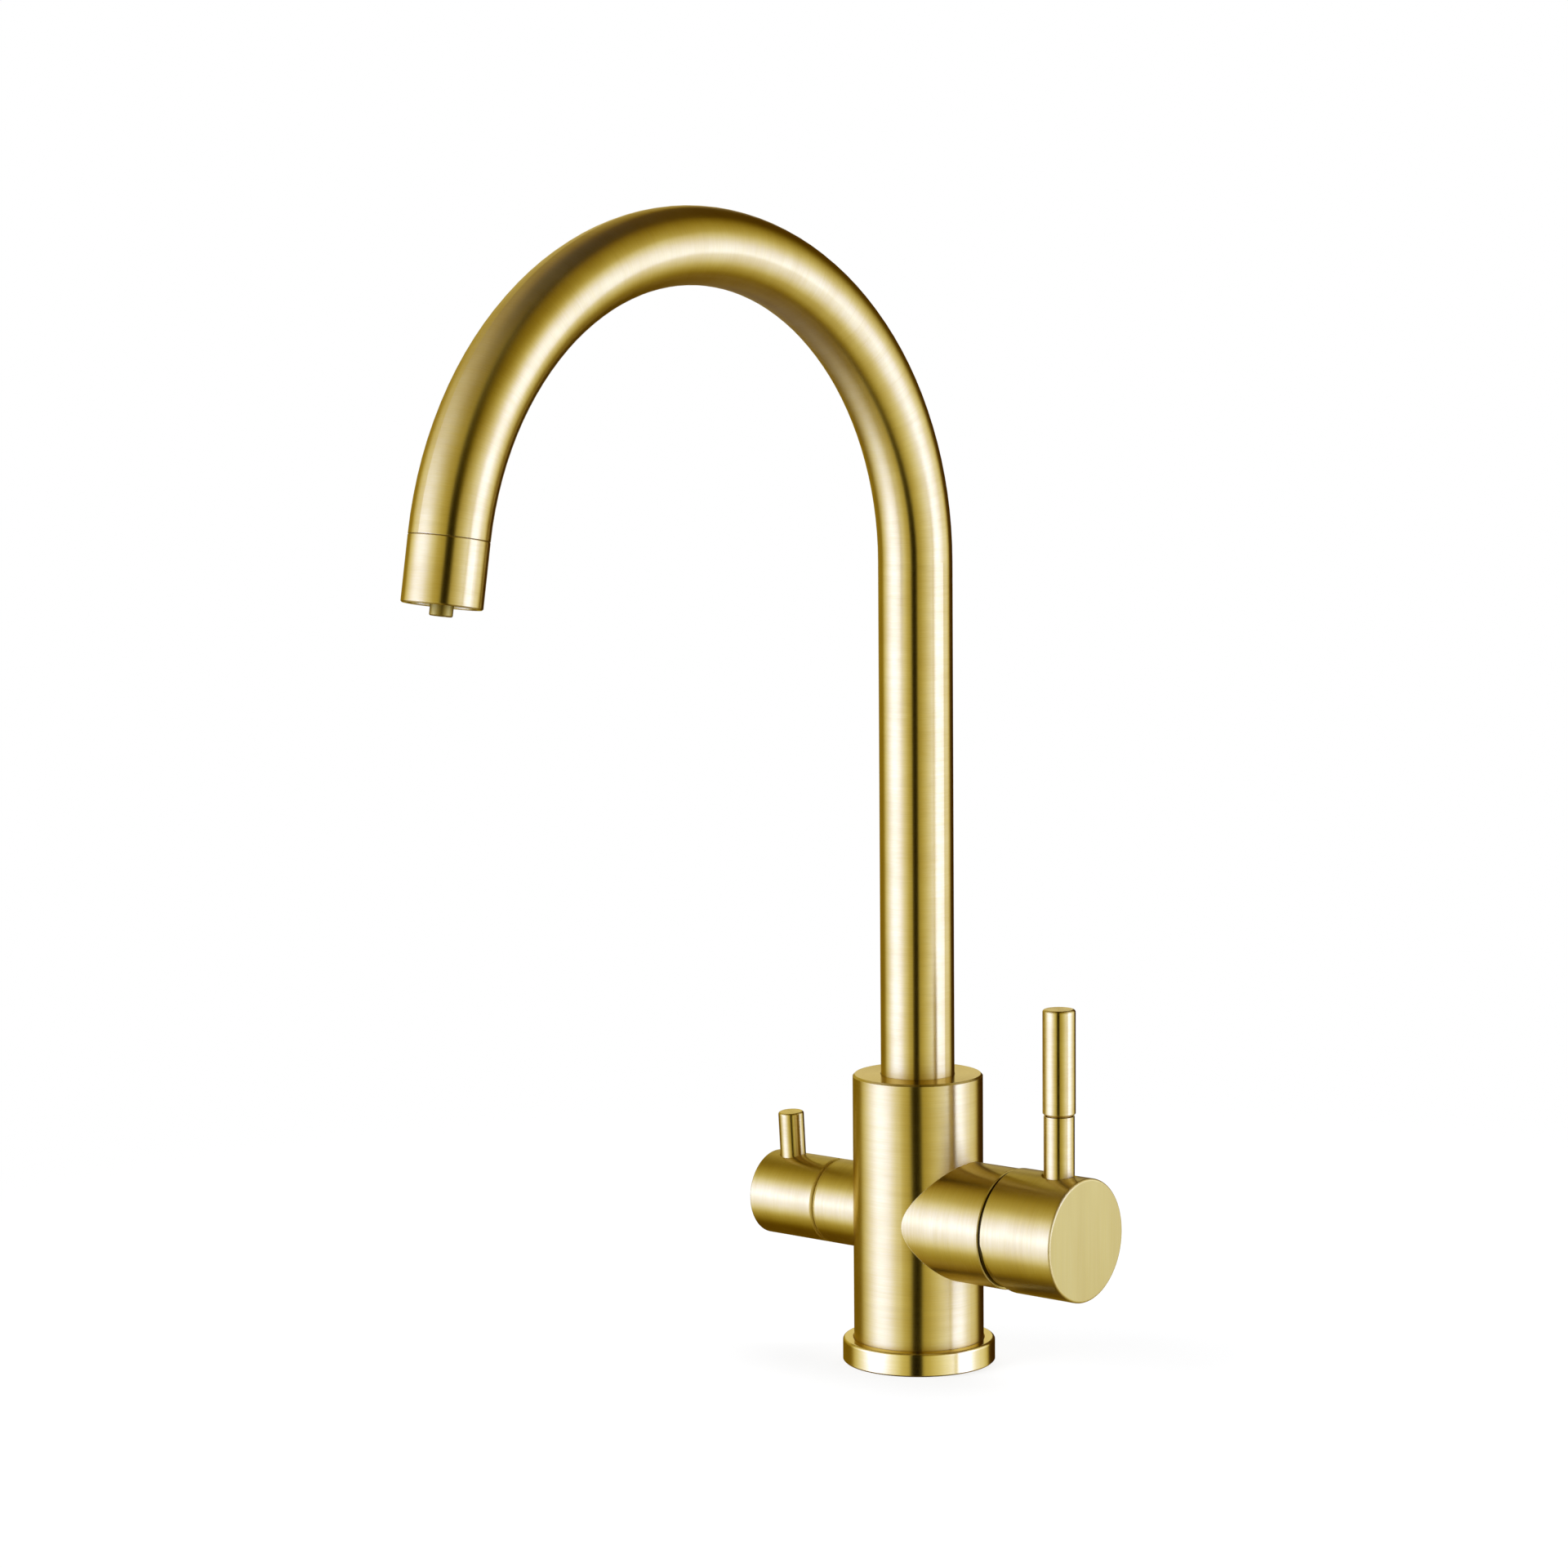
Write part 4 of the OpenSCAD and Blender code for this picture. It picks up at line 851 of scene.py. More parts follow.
@dataclass
class Spout:
    """Swan-neck tube that turns in the body, with what is inside it.

    Its swing is in degrees, towards the left.
    """

    swing: float = 4.1
    bend_z: float = 272.9
    bend_r: float = 104.8
    screw_z: float = 81.8

    def dress(self, stock: Stock) -> None:
        """Brushes the tube across its line all the way, and dresses the hidden pieces.

        Args:
            stock: the shared groups and materials.
        """
        self._dress_tube(stock.effects)
        paint(BRASS.material("turned_brass_insert", stock.effects, BODY_LINE), "spout_insert")
        paint(stock.rubber, "spout_o_rings", "stem_o_ring")
        paint(stock.acetal, "glide_ring", "filtered_tube")
        screw = Turning((0.0, 0.0, self.screw_z), BACK)
        paint(STEEL.material("turned_steel_screw", stock.effects, screw), "spout_screw")

    def _dress_tube(self, effects: Effects) -> None:
        """Lays the lines across a tube that goes straight up and then round a bend.

        Args:
            effects: the shared node groups.
        """
        material, g, shader = new_material("brushed_gold_tube")
        place = g.node("ShaderNodeTexCoord").outputs["Object"]
        lean = math.radians(self.swing)
        back = (math.sin(lean), math.cos(lean), 0.0)
        side = (math.cos(lean), -math.sin(lean), 0.0)
        centre = tuple(-self.bend_r * MM * x for x in back[:2]) + (self.bend_z * MM,)
        arm = g.turn(Turn.SUBTRACT, place, centre)
        out = g.turn(Turn.DOT, arm, back)
        up = g.turn(Turn.DOT, arm, UP)
        across = g.turn(Turn.DOT, arm, side)
        in_bend = g.math(Math.GREATER, up, 0.0)
        on_bend = g.math(Math.MAXIMUM, in_bend, g.math(Math.GREATER, 0.0, out))
        angle = g.math(Math.MULTIPLY, g.math(Math.ANGLE, up, out), on_bend)
        square = g.math(Math.ADD, g.math(Math.MULTIPLY, out, out), g.math(Math.MULTIPLY, up, up))
        far = g.blend(on_bend, out, g.math(Math.POWER, square, 0.5), Kind.VALUE)
        around = g.vector(g.math(Math.SUBTRACT, far, self.bend_r * MM), across)
        straight = g.math(Math.MULTIPLY, up, g.math(Math.SUBTRACT, 1.0, on_bend))
        distance = g.math(Math.MULTIPLY_ADD, angle, self.bend_r * MM, straight)
        turning = g.turn(Turn.CROSS, tuple(-x for x in side), arm)
        stretch = g.blend(on_bend, UP, g.turn(Turn.UNIT, turning), Kind.VECTOR)
        GOLD.finish(g, shader, effects, g.turn(Turn.UNIT, around), distance, g.vector(*UP), stretch)
        paint(material, "spout_tube")


@dataclass
class Outlet:
    """Sleeve at the spout's end with the aerator and the filtered-water nozzle."""

    spout: Spout
    bend_angle: float = 170.4

    def line(self) -> Turning:
        """Works out the outlet's middle line.

        Returns:
            The line from the end of the bend on.
        """
        turn = math.radians(self.bend_angle)
        back = self.spout.bend_r * (1 - math.cos(turn))
        end = Vector((0.0, -back, self.spout.bend_z + self.spout.bend_r * math.sin(turn)))
        way = Vector((0.0, -math.sin(turn), math.cos(turn)))
        swing = Matrix.Rotation(math.radians(-self.spout.swing), 3, "Z")
        return Turning(tuple(swing @ end), tuple(swing @ way))

    def dress(self, stock: Stock) -> None:
        """Dresses the sleeve, the nozzle, the jet plate and its washer.

        Args:
            stock: the shared groups and materials.
        """
        paint(GOLD.material("brushed_gold_outlet", stock.effects, self.line()), "outlet_sleeve")
        # The nozzle's dark gold is painted shade.
        paint(NOZZLE_GOLD_PAINTED_SHADE.material("gold_nozzle_painted_shade", stock.effects, self.line()), "filter_nozzle")
        paint(stock.nylon, "aerator")
        paint(stock.rubber, "aerator_seal")


@dataclass
class MixerValve:
    """Cartridge and domed cover in the housing on the right.

    The cover is darkened with painted shade up to shade_end, softened by soft_edge, and in a ring at ring_x,
    which is full up to ring_core on both sides and ends at ring_half: the shade of the gap behind the cap
    and a shade line on the dome.
    """

    shade_end: float = 41.4
    soft_edge: float = 0.25
    ring_x: float = 43.2
    ring_core: float = 0.175
    ring_half: float = 0.35
    pin_x: float = 39.0
    painted_shade_colour: Triple = (0.02, 0.012, 0.003)
    painted_shade_share: float = 0.94

    def dress(self, stock: Stock) -> None:
        """Dresses the cover and every piece of the cartridge.

        Args:
            stock: the shared groups and materials.
        """
        pin = Turning((self.pin_x, 0.0, VALVE_Z), BACK)
        paint(self._cover(stock.effects), "dome_cover")
        brass = BRASS.material("turned_brass_mixer", stock.effects, VALVE_LINE)
        paint(brass, "cartridge_collar", "mixer_spindle")
        paint(STEEL.material("turned_steel_pin", stock.effects, pin), "pivot_pin")
        paint(stock.ceramic, "fixed_disc", "moving_disc")
        paint(stock.acetal, "cartridge_base", "cartridge_shell")
        paint(stock.nylon, "cartridge_rotor", "disc_carrier")
        paint(stock.rubber, "port_seals")

    def _cover(self, effects: Effects) -> bpy.types.Material:
        """The cover's finish, with painted shade in the gap behind the cap and in one thin ring on the dome.

        Args:
            effects: the shared node groups.

        Returns:
            The material.
        """
        material, g, shader, place = GOLD.begin("brushed_gold_dome_painted_shade", effects, VALVE_LINE)
        along = g.parts(place.outputs["Object"])[0]
        # Painted shade: a near-black colour is laid over the gold in the gap and in a thin ring, where shade
        # falls.
        gap = g.step(along, self.shade_end * MM, (self.shade_end + self.soft_edge) * MM, 1.0, 0.0)
        from_ring = g.away(along, self.ring_x * MM)
        ring = g.step(from_ring, self.ring_core * MM, self.ring_half * MM, 1.0, 0.0)
        dark = g.math(Math.MULTIPLY, g.math(Math.MAXIMUM, gap, ring), self.painted_shade_share)
        g.overlay(shader.inputs["Base Color"], dark, self.painted_shade_colour)
        return material


@dataclass
class MixerHandle:
    """Cap, rod and grip of the mixer lever."""

    lever_x: float = 59.3
    face_x: float = 70.3
    margin: float = 0.02
    upright_lines: float = 12.0
    painted_face_shade: Triple = (0.90, 0.90, 0.69)

    def dress(self, stock: Stock) -> None:
        """Brushes the cap round its axis, its end face straight up, and the lever round its own axis.

        Args:
            stock: the shared groups and materials.
        """
        paint(self._cap(stock.effects), "handle_cap")
        line = Turning((self.lever_x, 0, 0), UP)
        paint(GOLD.material("brushed_gold_lever", stock.effects, line), "lever_rod", "lever_grip")

    def _cap(self, effects: Effects) -> bpy.types.Material:
        """The cap's finish: its end face is brushed in straight upright lines and painted a little darker and
        yellower, as painted shade.

        Args:
            effects: the shared node groups.

        Returns:
            The material.
        """
        material, g, shader = new_material("brushed_gold_cap_painted_shade")
        place = g.node("ShaderNodeTexCoord")
        spot = place.outputs["Object"]
        x, y, z = g.parts(spot)
        on_face = g.math(Math.GREATER, x, (self.face_x - self.margin) * MM)
        line = g.vector(*VALVE_LINE.start())
        axis = g.vector(*VALVE_LINE.axis)
        turned = g.group(effects.round_piece, Position=spot, Origin=line, Axis=axis)
        upright = g.vector(0.0, g.math(Math.MULTIPLY, z, self.upright_lines))
        around = g.blend(on_face, turned.outputs["Around"], upright, Kind.VECTOR)
        distance = g.blend(on_face, turned.outputs["Along"], y, Kind.VALUE)
        stretch = g.blend(on_face, lines_round(g, place, line, axis), BACK, Kind.VECTOR)
        GOLD.finish(g, shader, effects, around, distance, axis, stretch)
        # Painted shade: the end face's colour is multiplied darker, most in blue, so that it reflects less
        # light.
        g.overlay(shader.inputs["Base Color"], 1.0, g.blend(on_face, WHITE, self.painted_face_shade), how=Blend.TIMES)
        return material


@dataclass
class FilterValve:
    """Quarter-turn valve on the left with its knob and pin lever."""

    pin_x: float = -54.4
    lean: float = 4.0

    def dress(self, stock: Stock) -> None:
        """Dresses the knob, the leaning pin lever and the hidden valve.

        Args:
            stock: the shared groups and materials.
        """
        knob, g, shader, place = GOLD.begin("brushed_gold_knob", stock.effects, VALVE_LINE)
        # The matt band at the seam carries a painted reflection.
        Groove().lay(g, shader, g.parts(place.outputs["Object"])[0])
        paint(knob, "filter_knob")
        tilt = math.radians(self.lean)
        pin = Turning((self.pin_x, 0, VALVE_Z), (0.0, -math.sin(tilt), math.cos(tilt)))
        paint(GOLD.material("brushed_gold_pin", stock.effects, pin), "filter_lever")
        brass = BRASS.material("turned_brass_filter", stock.effects, VALVE_LINE)
        paint(brass, "filter_headwork", "filter_spindle")
        paint(stock.ceramic, "filter_fixed_disc", "filter_moving_disc")
        paint(stock.rubber, "filter_port_seal", "filter_o_ring")


@dataclass
class DeckFixing:
    """Stud, horseshoes and long nut under the deck.

    Away from the middle of its groove the thread stays down at first, by root, then rises by flank per turn
    and is cut off at the crest.
    """

    stud_x: float = 13.0
    stud_low: float = -70.0
    stud_high: float = 15.3
    stud_r: float = 3.95
    root_r: float = 3.28
    pitch: float = 1.25
    flank: float = 5.2
    root: float = 0.8
    end_chamfer: float = 0.8
    sides: int = 32
    rows_per_turn: int = 8

    def dress(self, stock: Stock) -> None:
        """Dresses the horseshoes and the nut, and cuts the stud's thread.

        Args:
            stock: the shared groups and materials.
        """
        line = Turning((self.stud_x, 0, 0), UP)
        steel = STEEL.material("turned_steel_stud", stock.effects, line)
        paint(steel, "clamp_washer")
        paint(BRASS.material("turned_brass_nut", stock.effects, line), "clamp_nut")
        paint(stock.rubber, "clamp_gasket")
        stud = self._stud()
        stud.data.materials.append(steel)
        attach(stud, "body")
        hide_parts("mounting_stud")
        log.info("built %s", stud.name)

    def _stud(self) -> bpy.types.Object:
        """A stud with a real helical thread, chamfered at both ends.

        Returns:
            The new piece.
        """
        length = self.stud_high - self.stud_low
        rows = round(length / self.pitch * self.rows_per_turn)
        mesh = bmesh.new()
        rings: list[list[bmesh.types.BMVert]] = []
        for row in range(rows + 1):
            height = self.stud_low + length * row / rows
            angles = (2 * math.pi * side / self.sides for side in range(self.sides))
            rings.append([mesh.verts.new(self._thread_point(height, angle)) for angle in angles])
        for low, high in zip(rings, rings[1:]):
            for side in range(self.sides):
                after = (side + 1) % self.sides
                mesh.faces.new((low[side], low[after], high[after], high[side]))
        mesh.faces.new(list(reversed(rings[0])))
        mesh.faces.new(rings[-1])
        return new_piece("threaded_stud", mesh)

    def _thread_point(self, height: float, angle: float) -> Vector:
        """One point of the thread's surface.

        Args:
            height: millimetres above the deck.
            angle: radians round the stud.

        Returns:
            The point in metres.
        """
        share = (height / self.pitch - angle / (2 * math.pi)) % 1.0
        crest = min(1.0, max(0.0, self.flank * abs(share - 0.5) - self.root))
        radius = self.root_r + (self.stud_r - self.root_r) * crest
        to_end = min(height - self.stud_low, self.stud_high - height)
        radius = min(radius, self.stud_r - self.end_chamfer + to_end)
        return MM * Vector((self.stud_x + radius * math.cos(angle), radius * math.sin(angle), height))


@dataclass(frozen=True)
class Step:
    """A smooth change from one result to another between two limits."""

    low: float
    high: float
    before: float
    after: float

    def over(self, g: Graph, value: Socket) -> Socket:
        """Adds the step to a graph, for the value that decides."""
        return g.step(value, self.low, self.high, self.before, self.after)


@dataclass(frozen=True)
class Tent:
    """A level that falls off evenly on both sides of an angle, to nothing at half away from it."""

    middle: float
    half: float
    level: float = 1.0

    def over(self, g: Graph, angle: Socket) -> Socket:
        """Adds the tent to a graph.

        Args:
            g: the graph.
            angle: the angle's socket.

        Returns:
            The level's socket.
        """
        away = g.away(angle, self.middle)
        share = g.math(Math.SUBTRACT, 1.0, g.math(Math.DIVIDE, away, self.half), clamp=True)
        return g.math(Math.MULTIPLY, share, self.level)


@dataclass(frozen=True)
class Card:
    """A soft bright patch of the reflector: a tent across, and a tent up that carries its level."""

    across: Tent
    up: Tent


@dataclass(frozen=True)
class Flag:
    """A dark upright strip of the reflector.

    It is dark up to core from its middle and clear from edge on, and share is what it takes of the light.
    It hangs between the heights foot and head, which are softened by foot_soft and head_soft.
    """

    middle: float
    core: float
    edge: float
    share: float
    foot: float = -100.0
    head: float = 100.0
    foot_soft: float = 7.0
    head_soft: float = 5.0

    def over(self, g: Graph, across: Socket, up: Socket) -> Socket:
        """Adds the flag to a graph.

        Args:
            g: the graph.
            across: the angle across.
            up: the angle up.

        Returns:
            The socket of what the flag leaves of the light.
        """
        shade = g.step(g.away(across, self.middle), self.core, self.edge, self.share, 0.0)
        above = g.step(up, self.foot - self.foot_soft, self.foot + self.foot_soft)
        below = g.step(up, self.head - self.head_soft, self.head + self.head_soft, 1.0, 0.0)
        shade = g.math(Math.MULTIPLY, g.math(Math.MULTIPLY, shade, above), below)
        return g.math(Math.SUBTRACT, 1.0, shade)


@dataclass(frozen=True)
class Opening:
    """A part of the reflector that is left out."""

    left: float
    right: float
    low: float
    high: float

    def holds(self, across: float, up: float) -> bool:
        """Whether the direction of two angles lies in the opening."""
        return self.left <= across <= self.right and self.low <= up <= self.high


def reflected_sheet(
    name: str,
    across: list[float],
    up: list[float],
    place: Callable[[float, float], Vector],
    openings: tuple[Opening, ...] = (),
) -> bpy.types.Object:
    """Builds a curved sheet that only reflections show, with the measures across and up in its UV map.

    Args:
        name: the sheet's name.
        across: the measure across of each column.
        up: the measure up of each row.
        place: gives the spot for two measures, in metres.
        openings: parts that are left out.

    Returns:
        The sheet, unseen by the camera, by diffuse light, by shadows and by volumes.
    """
    mesh = bmesh.new()
    layer = mesh.loops.layers.uv.new(ANGLES)
    grid = [[(mesh.verts.new(place(x, y)), (x, y)) for x in across] for y in up]
    for low, high in zip(grid, grid[1:]):
        for column in range(len(across) - 1):
            corners = (low[column], low[column + 1], high[column + 1], high[column])
            if any(all(opening.holds(*spot) for _, spot in corners) for opening in openings):
                continue
            face = mesh.faces.new([vertex for vertex, _ in corners])
            for loop, (_, spot) in zip(face.loops, corners):
                loop[layer].uv = spot
    sheet = new_piece(name, mesh)
    for ray in ("visible_camera", "visible_diffuse", "visible_shadow", "visible_volume_scatter"):
        setattr(sheet, ray, False)
    return sheet


def direction(across: float, up: float) -> Vector:
    """The unit vector of two angles in radians: across, from +X to +Y, and up, above the horizon."""
    return Vector((math.cos(across) * math.cos(up), math.sin(across) * math.cos(up), math.sin(up)))


@dataclass(frozen=True)
class Wrap:
    """A reflector all round the faucet, open at the back, which only reflections show.

    Angles are in degrees: across counts to the right of the camera, seen from the faucet, and up above the
    horizon. Distance is in metres. Levels gives the light by the angle across, at the height belt_up; it
    falls to nothing belt_above and belt_below, past a weak shoulder whose share is spill. Two tents by
    height, upper and lower, add light all round, of which lower_right and lower_left take some away. Cards
    add light, flags take it away, foot is what is left towards the floor, and least is the darkest level.
    Dark parts are warm and bright parts cool: red and blue go with powers of the level, and blue no further
    than blue_limit times it.
    """

    levels: tuple[tuple[float, float], ...]
    flags: tuple[Flag, ...]
    openings: tuple[Opening, ...]
    cards: tuple[Card, ...] = (
        Card(Tent(-168.0, 26.0), Tent(24.0, 24.0, 0.6)),
        Card(Tent(56.0, 32.0), Tent(-54.0, 24.0, 0.5)),
    )
    distance: float = 2.0
    columns: int = 90
    rows: int = 45
    belt_up: float = -3.0
    belt_above: float = 38.0
    belt_below: float = 41.0
    spill: float = 0.17
    upper: Tent = Tent(30.0, 44.0, 0.45)
    lower: Tent = Tent(-38.0, 34.0, 0.5)
    lower_right: Step = Step(103.0, 128.0, 1.0, 0.35)
    lower_left: Step = Step(-128.0, -103.0, 0.06, 1.0)
    foot: Step = Step(-30.0, -60.0, 0.0, 0.08)
    least: float = 0.004
    red_power: float = 0.78
    blue_share: float = 0.85
    blue_power: float = 1.5
    blue_limit: float = 2.6

    def build(self, centre: Vector, facing: float) -> None:
        """Builds the reflector.

        Args:
            centre: what it is curved round.
            facing: the camera's direction from the faucet, in radians from +X to +Y.
        """
        sheet = reflected_sheet(
            "wrap_reflector",
            [-180 + 360 * column / self.columns for column in range(self.columns + 1)],
            [-90 + 180 * row / self.rows for row in range(self.rows + 1)],
            lambda x, y: centre + self.distance * direction(facing + math.radians(x), math.radians(y)),
            self.openings,
        )
        sheet.data.materials.append(self._material())

    def _material(self) -> bpy.types.Material:
        """Emission by the two angles.

        Returns:
            The material.
        """
        material, g = blank_material("wrap_light")
        across, up, _ = g.parts(g.node("ShaderNodeUVMap", uv_map=ANGLES).outputs[0])
        height = g.math(Math.SUBTRACT, up, self.belt_up)
        above = g.math(Math.DIVIDE, height, self.belt_above)
        below = g.math(Math.DIVIDE, height, -self.belt_below)
        belt = g.math(Math.SUBTRACT, 1.0, g.math(Math.MAXIMUM, above, below), clamp=True)
        shoulder = Tent(self.upper.middle, self.upper.half, self.spill).over(g, g.math(Math.ABSOLUTE, up))
        level = g.math(Math.MULTIPLY, self._across(g, across), g.math(Math.ADD, shoulder, belt))
        lower = g.math(Math.MULTIPLY, self.lower.over(g, up), self.lower_right.over(g, across))
        lower = g.math(Math.MULTIPLY, lower, self.lower_left.over(g, across))
        level = g.math(Math.ADD, level, g.math(Math.ADD, self.upper.over(g, up), lower))
        for flag in self.flags:
            level = g.math(Math.MULTIPLY, level, flag.over(g, across, up))
        for card in self.cards:
            patch = g.math(Math.MULTIPLY, card.across.over(g, across), card.up.over(g, up))
            level = g.math(Math.ADD, level, patch)
        level = g.math(Math.MAXIMUM, g.math(Math.ADD, level, self.foot.over(g, up)), self.least)
        bluer = g.math(Math.MULTIPLY, g.math(Math.POWER, level, self.blue_power), self.blue_share)
        blue = g.math(Math.MULTIPLY, level, g.math(Math.MINIMUM, bluer, self.blue_limit))
        red = g.math(Math.POWER, level, self.red_power)
        colour = g.fill(g.node("ShaderNodeCombineColor"), Red=red, Green=level, Blue=blue)
        g.show(g.fill(g.node("ShaderNodeEmission"), Color=colour.outputs[0]).outputs[0])
        return material

    def _across(self, g: Graph, across: Socket) -> Socket:
        """The light by the angle across.

        Args:
            g: the material's graph.
            across: the angle's socket.

        Returns:
            The level's socket.
        """
        peak = max(level for _, level in self.levels)
        ramp = g.node("ShaderNodeValToRGB")
        g.feed(ramp.inputs[0], g.math(Math.MULTIPLY_ADD, across, 1 / 360, 0.5))
        ramp.color_ramp.interpolation = "CARDINAL"
        stops = ramp.color_ramp.elements
        while len(stops) < len(self.levels):
            stops.new(0.5)
        for stop, (angle, level) in zip(stops, self.levels):
            stop.position = 0.5 + angle / 360
            stop.color = (level / peak,) * 3 + (1.0,)
        return g.math(Math.MULTIPLY, ramp.outputs[0], peak)


@dataclass(frozen=True)
class Slit:
    """A dark upright strip close in front of the faucet, which only reflections show.

    It gives the dark line down every round piece. Angles are in degrees to the right of the camera, seen
    from the faucet; the strip is dark up to core from its middle and clear from edge on. It stands distance
    away between the heights low and high, in metres.
    """

    middle: float = -5.4
    core: float = 7.5
    edge: float = 11.0
    distance: float = 0.67
    low: float = -1.4
    high: float = 1.9
    columns: int = 12
    rows: int = 6
    colour: Triple = (0.006, 0.004, 0.001)

    def build(self, facing: float) -> None:
        """Builds the strip.

        Args:
            facing: the camera's direction from the faucet, in radians from +X to +Y.
        """
        sheet = reflected_sheet(
            "slit_strip",
            [self.middle + self.edge * (2 * column / self.columns - 1) for column in range(self.columns + 1)],
            [self.low + (self.high - self.low) * row / self.rows for row in range(self.rows + 1)],
            lambda x, y: self.distance * direction(facing + math.radians(x), 0.0) + Vector((0.0, 0.0, y)),
        )
        sheet.data.materials.append(self._material())

    def _material(self) -> bpy.types.Material:
        """Dark in the middle and clear towards both edges.

        Returns:
            The material.
        """
        material, g = blank_material("slit_black")
        across = g.parts(g.node("ShaderNodeUVMap", uv_map=ANGLES).outputs[0])[0]
        share = g.step(g.away(across, self.middle), self.core, self.edge)
        dark = g.fill(g.node("ShaderNodeEmission"), Color=self.colour)
        clear = g.node("ShaderNodeBsdfTransparent")
        g.show(g.mix(share, dark.outputs[0], clear.outputs[0]))
        return material


@dataclass(frozen=True)
class Lamp:
    """A soft lamp, for which the reflector stands in where metal shows it.

    Its angles are as the reflector's, its distance and size are in metres, and its power is in watts.
    """

    name: str
    across: float
    up: float
    distance: float
    size: tuple[float, float]
    power: float

    def build(self, centre: Vector, facing: float) -> None:
        """Builds the lamp.

        Args:
            centre: what it shines on.
            facing: the camera's direction from the faucet, in radians from +X to +Y.
        """
        data = bpy.data.lights.new(self.name, "AREA")
        data.shape = "RECTANGLE"
        data.size, data.size_y = self.size
        data.energy = self.power
        lamp = bpy.data.objects.new(self.name, data)
        way = direction(facing + math.radians(self.across), math.radians(self.up))
        lamp.location = centre + self.distance * way
        lamp.rotation_mode = "QUATERNION"
        lamp.rotation_quaternion = way.to_track_quat("Z", "Y")
        lamp.visible_camera = False
        lamp.visible_glossy = False
        bpy.context.scene.collection.objects.link(lamp)


def looked_at(g: Graph) -> Socket:
    """Tells rays that show a surface from the light that falls on the faucet.

    Args:
        g: the material's or world's graph.

    Returns:
        A socket that is one for rays from the camera, a reflection or glass.
    """
    rays = g.node("ShaderNodeLightPath").outputs
    mirrored = g.math(Math.MAXIMUM, rays["Is Glossy Ray"], rays["Is Transmission Ray"])
    return g.math(Math.MAXIMUM, rays["Is Camera Ray"], mirrored)


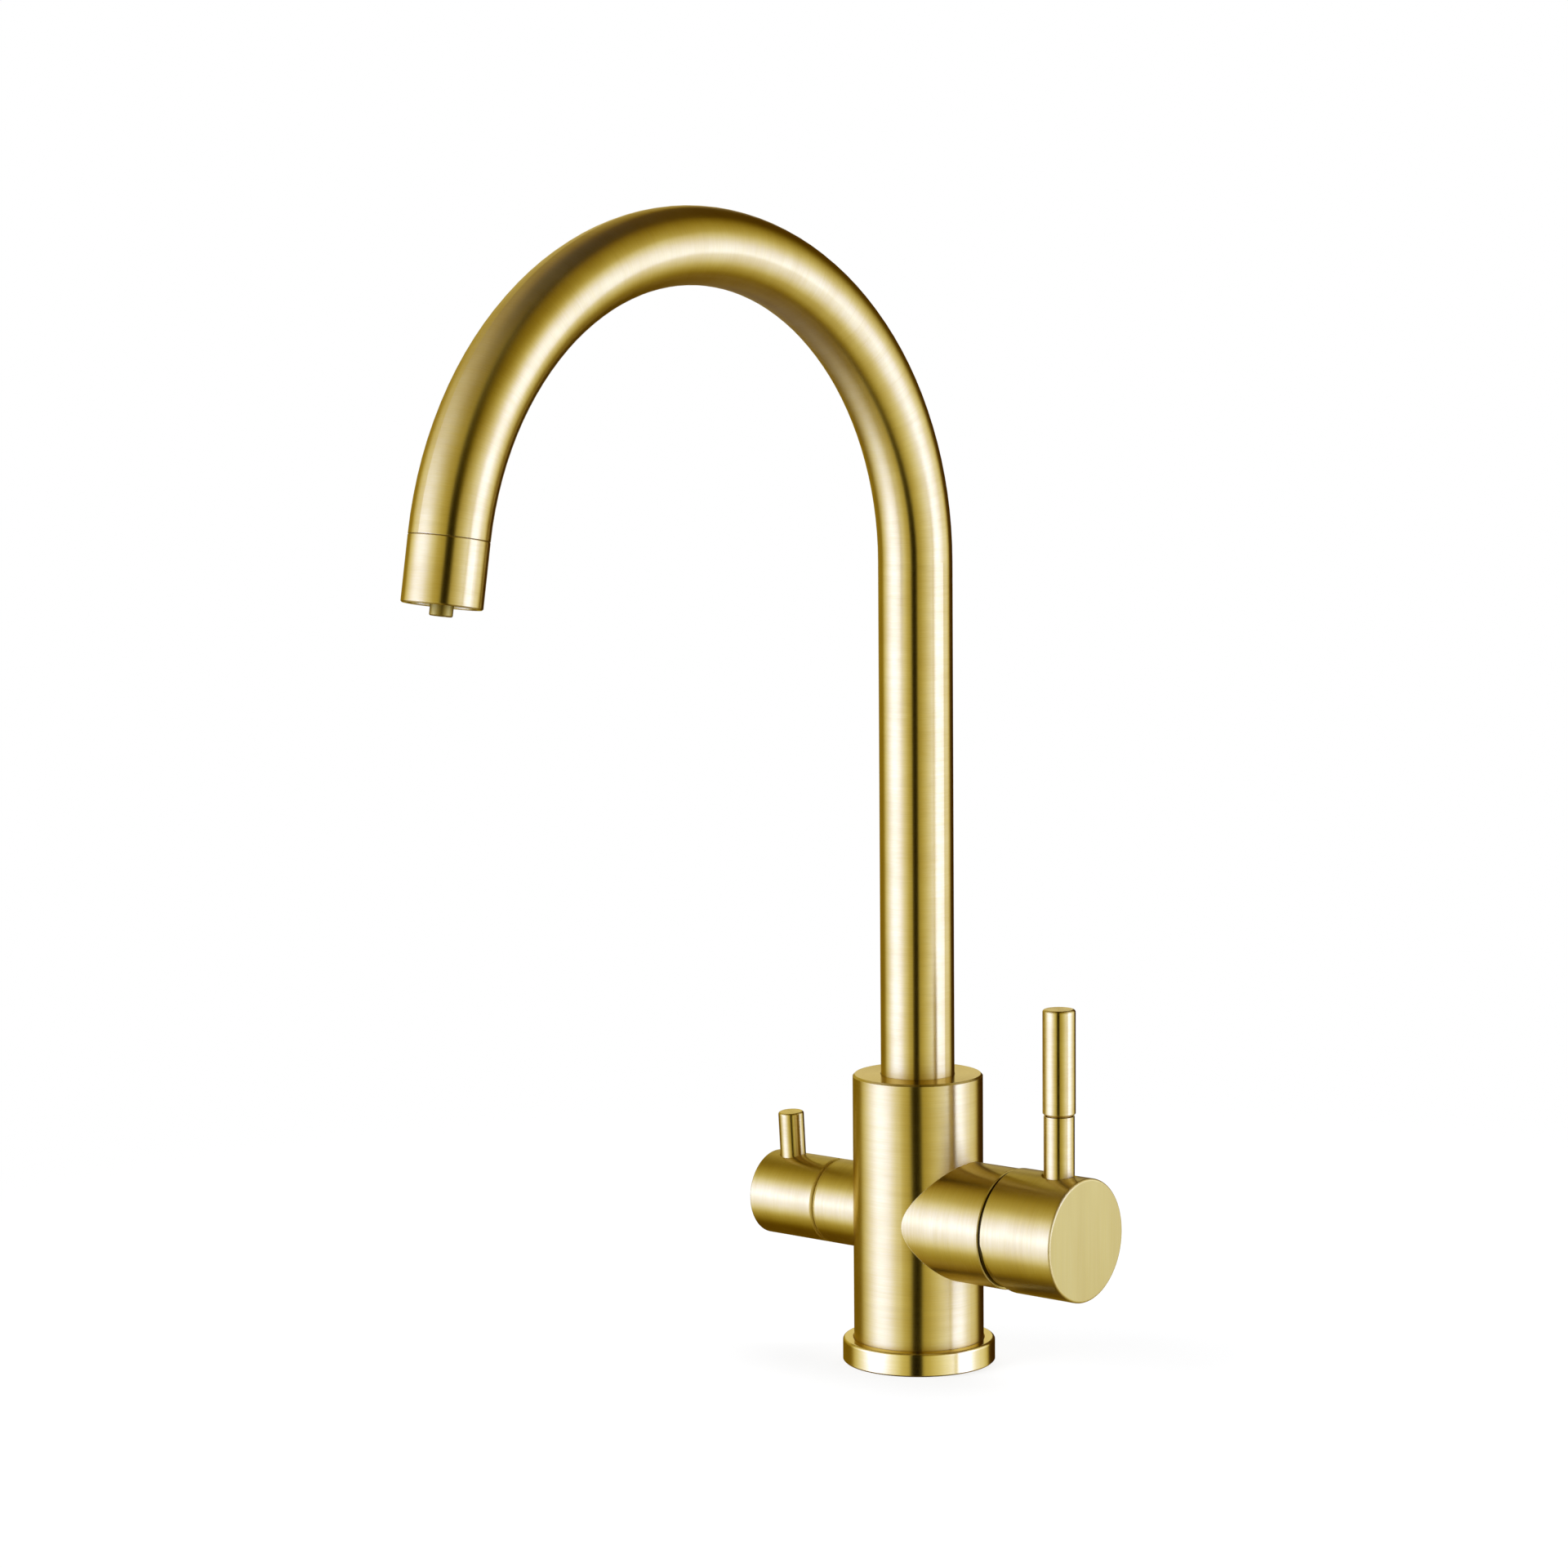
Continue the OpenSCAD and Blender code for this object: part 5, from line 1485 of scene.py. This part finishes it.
@dataclass(frozen=True)
class Studio:
    """Floor, lamps, reflector, white surroundings and the camera.

    The camera's angles are in degrees; its distance and aim, and the centre of the lamps, are in
    millimetres, as are the lens and the sensor. The floor's half width, its fade and the camera's clipping
    are in metres.
    """

    azimuth: float = 39.781
    elevation: float = 6.465
    distance: float = 1438.14
    roll: float = -0.481
    aim_right: float = -44.59
    aim_up: float = 8.22
    aim_z: float = 190.0
    lens: float = 97.90
    sensor: float = 36.0
    clip: tuple[float, float] = (0.05, 100.0)
    centre: Triple = (0.0, -60.0, 170.0)
    sky: Triple = (0.92, 0.95, 1.0)
    sky_power: float = 0.45
    floor_half: float = 30.0
    floor_cells: int = 8
    floor_tone: float = 0.86
    floor_fade: Step = Step(0.12, 0.5, 0.72, 1.0)
    slit: Slit = Slit()
    lamps: tuple[Lamp, ...] = (
        Lamp("key_lamp", -70.0, 35.0, 1.6, (1.1, 1.1), 26.0),
        Lamp("fill_lamp", 75.0, 35.0, 1.6, (1.0, 1.0), 18.0),
        Lamp("back_lamp", 170.0, 50.0, 1.7, (1.2, 0.8), 12.0),
    )
    wrap: Wrap = Wrap(
        levels=(
            (-180, 0.2), (-160, 0.2), (-130, 0.2), (-124, 0.35), (-118, 0.95), (-110, 1.25), (-95, 2.05),
            (-80, 2.75), (-66, 2.7), (-50, 1.95), (-30, 0.92), (-18, 0.5), (-9, 0.4), (4, 0.4), (10, 0.46),
            (20, 0.71), (35, 1.17), (50, 1.65), (60, 2.2), (68, 2.75), (80, 2.8), (92, 2.15), (100, 1.6),
            (112, 1.45), (120, 1.05), (126, 0.6), (134, 0.2), (160, 0.12), (180, 0.3),
        ),
        flags=(
            Flag(153.0, 23.0, 27.5, 0.85, -27.0, 58.0),
            Flag(57.5, 1.0, 3.8, 0.5),
            Flag(26.0, 10.0, 42.0, 0.45, 14.0, 50.0),
            Flag(103.0, 10.0, 24.0, 0.25, head=-11.0),
            Flag(-104.0, 12.0, 26.0, 0.15, head=-10.0),
        ),
        openings=(Opening(172, 180, -2, 26), Opening(-180, -172, -2, 26)),
    )

    def build(self) -> None:
        """Builds everything round the faucet."""
        centre = Vector(self.centre) * MM
        facing = math.radians(self.azimuth - 90)
        self.wrap.build(centre, facing)
        self.slit.build(facing)
        self._surroundings()
        self._floor()
        for lamp in self.lamps:
            lamp.build(centre, facing)
        self._camera()

    def _surroundings(self) -> None:
        """Makes the world white where it is seen, and softer for the light on the faucet."""
        world = bpy.data.worlds.new("studio")
        bpy.context.scene.world = world
        world.use_nodes = True
        world.node_tree.nodes.clear()
        g = Graph(world.node_tree)
        soft = g.fill(g.node("ShaderNodeBackground"), Color=self.sky, Strength=self.sky_power)
        white = g.fill(g.node("ShaderNodeBackground"), Color=WHITE, Strength=1.0)
        g.show(g.mix(looked_at(g), soft.outputs[0], white.outputs[0]), "ShaderNodeOutputWorld")

    def _floor(self) -> None:
        """Lays a plain pale floor at the deck's surface, which keeps the faucet's shadow."""
        mesh = bmesh.new()
        cells = self.floor_cells
        bmesh.ops.create_grid(mesh, x_segments=cells, y_segments=cells, size=self.floor_half)
        floor = new_piece("floor", mesh, smooth=False)
        floor.visible_glossy = False
        material, g = blank_material("pale_floor")
        coat = g.fill(g.node("ShaderNodeBsdfDiffuse"), Color=(self.floor_tone,) * 3)
        glow = g.fill(g.node("ShaderNodeEmission"), Color=WHITE)
        away = g.turn(Turn.LENGTH, g.node("ShaderNodeNewGeometry").outputs["Position"])
        share = g.math(Math.MULTIPLY, looked_at(g), self.floor_fade.over(g, away))
        g.show(g.mix(share, coat.outputs[0], glow.outputs[0]))
        floor.data.materials.append(material)

    def _camera(self) -> None:
        """Sets the camera at the photograph's place, turned and rolled as it was, with no shift."""
        turn, rise, roll = (math.radians(x) for x in (self.azimuth, self.elevation, self.roll))
        back = Vector((math.sin(turn) * math.cos(rise), -math.cos(turn) * math.cos(rise), math.sin(rise)))
        right = (-back).cross(Vector(UP)).normalized()
        up = right.cross(-back)
        aim = Vector((0, 0, self.aim_z)) + right * self.aim_right + up * self.aim_up
        rolled_right = right * math.cos(roll) + up * math.sin(roll)
        rolled_up = -right * math.sin(roll) + up * math.cos(roll)
        data = bpy.data.cameras.new("camera")
        data.lens = self.lens
        data.sensor_width = self.sensor
        data.clip_start, data.clip_end = self.clip
        camera = bpy.data.objects.new("camera", data)
        camera.location = MM * (aim + back * self.distance)
        camera.rotation_mode = "QUATERNION"
        camera.rotation_quaternion = Matrix((rolled_right, rolled_up, back)).transposed().to_quaternion()
        bpy.context.scene.collection.objects.link(camera)
        bpy.context.scene.camera = camera


def main() -> None:
    """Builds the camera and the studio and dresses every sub-assembly."""
    logging.basicConfig(level=logging.INFO, format="%(name)s: %(message)s")
    view = bpy.context.scene.view_settings
    view.view_transform = "Standard"
    Studio().build()
    stock = Stock()
    spout = Spout()
    for assembly in (Body(), spout, Outlet(spout), MixerValve(), MixerHandle(), FilterValve(), DeckFixing()):
        assembly.dress(stock)
        log.info("finished %s", type(assembly).__name__)


if __name__ == "__main__":
    main()
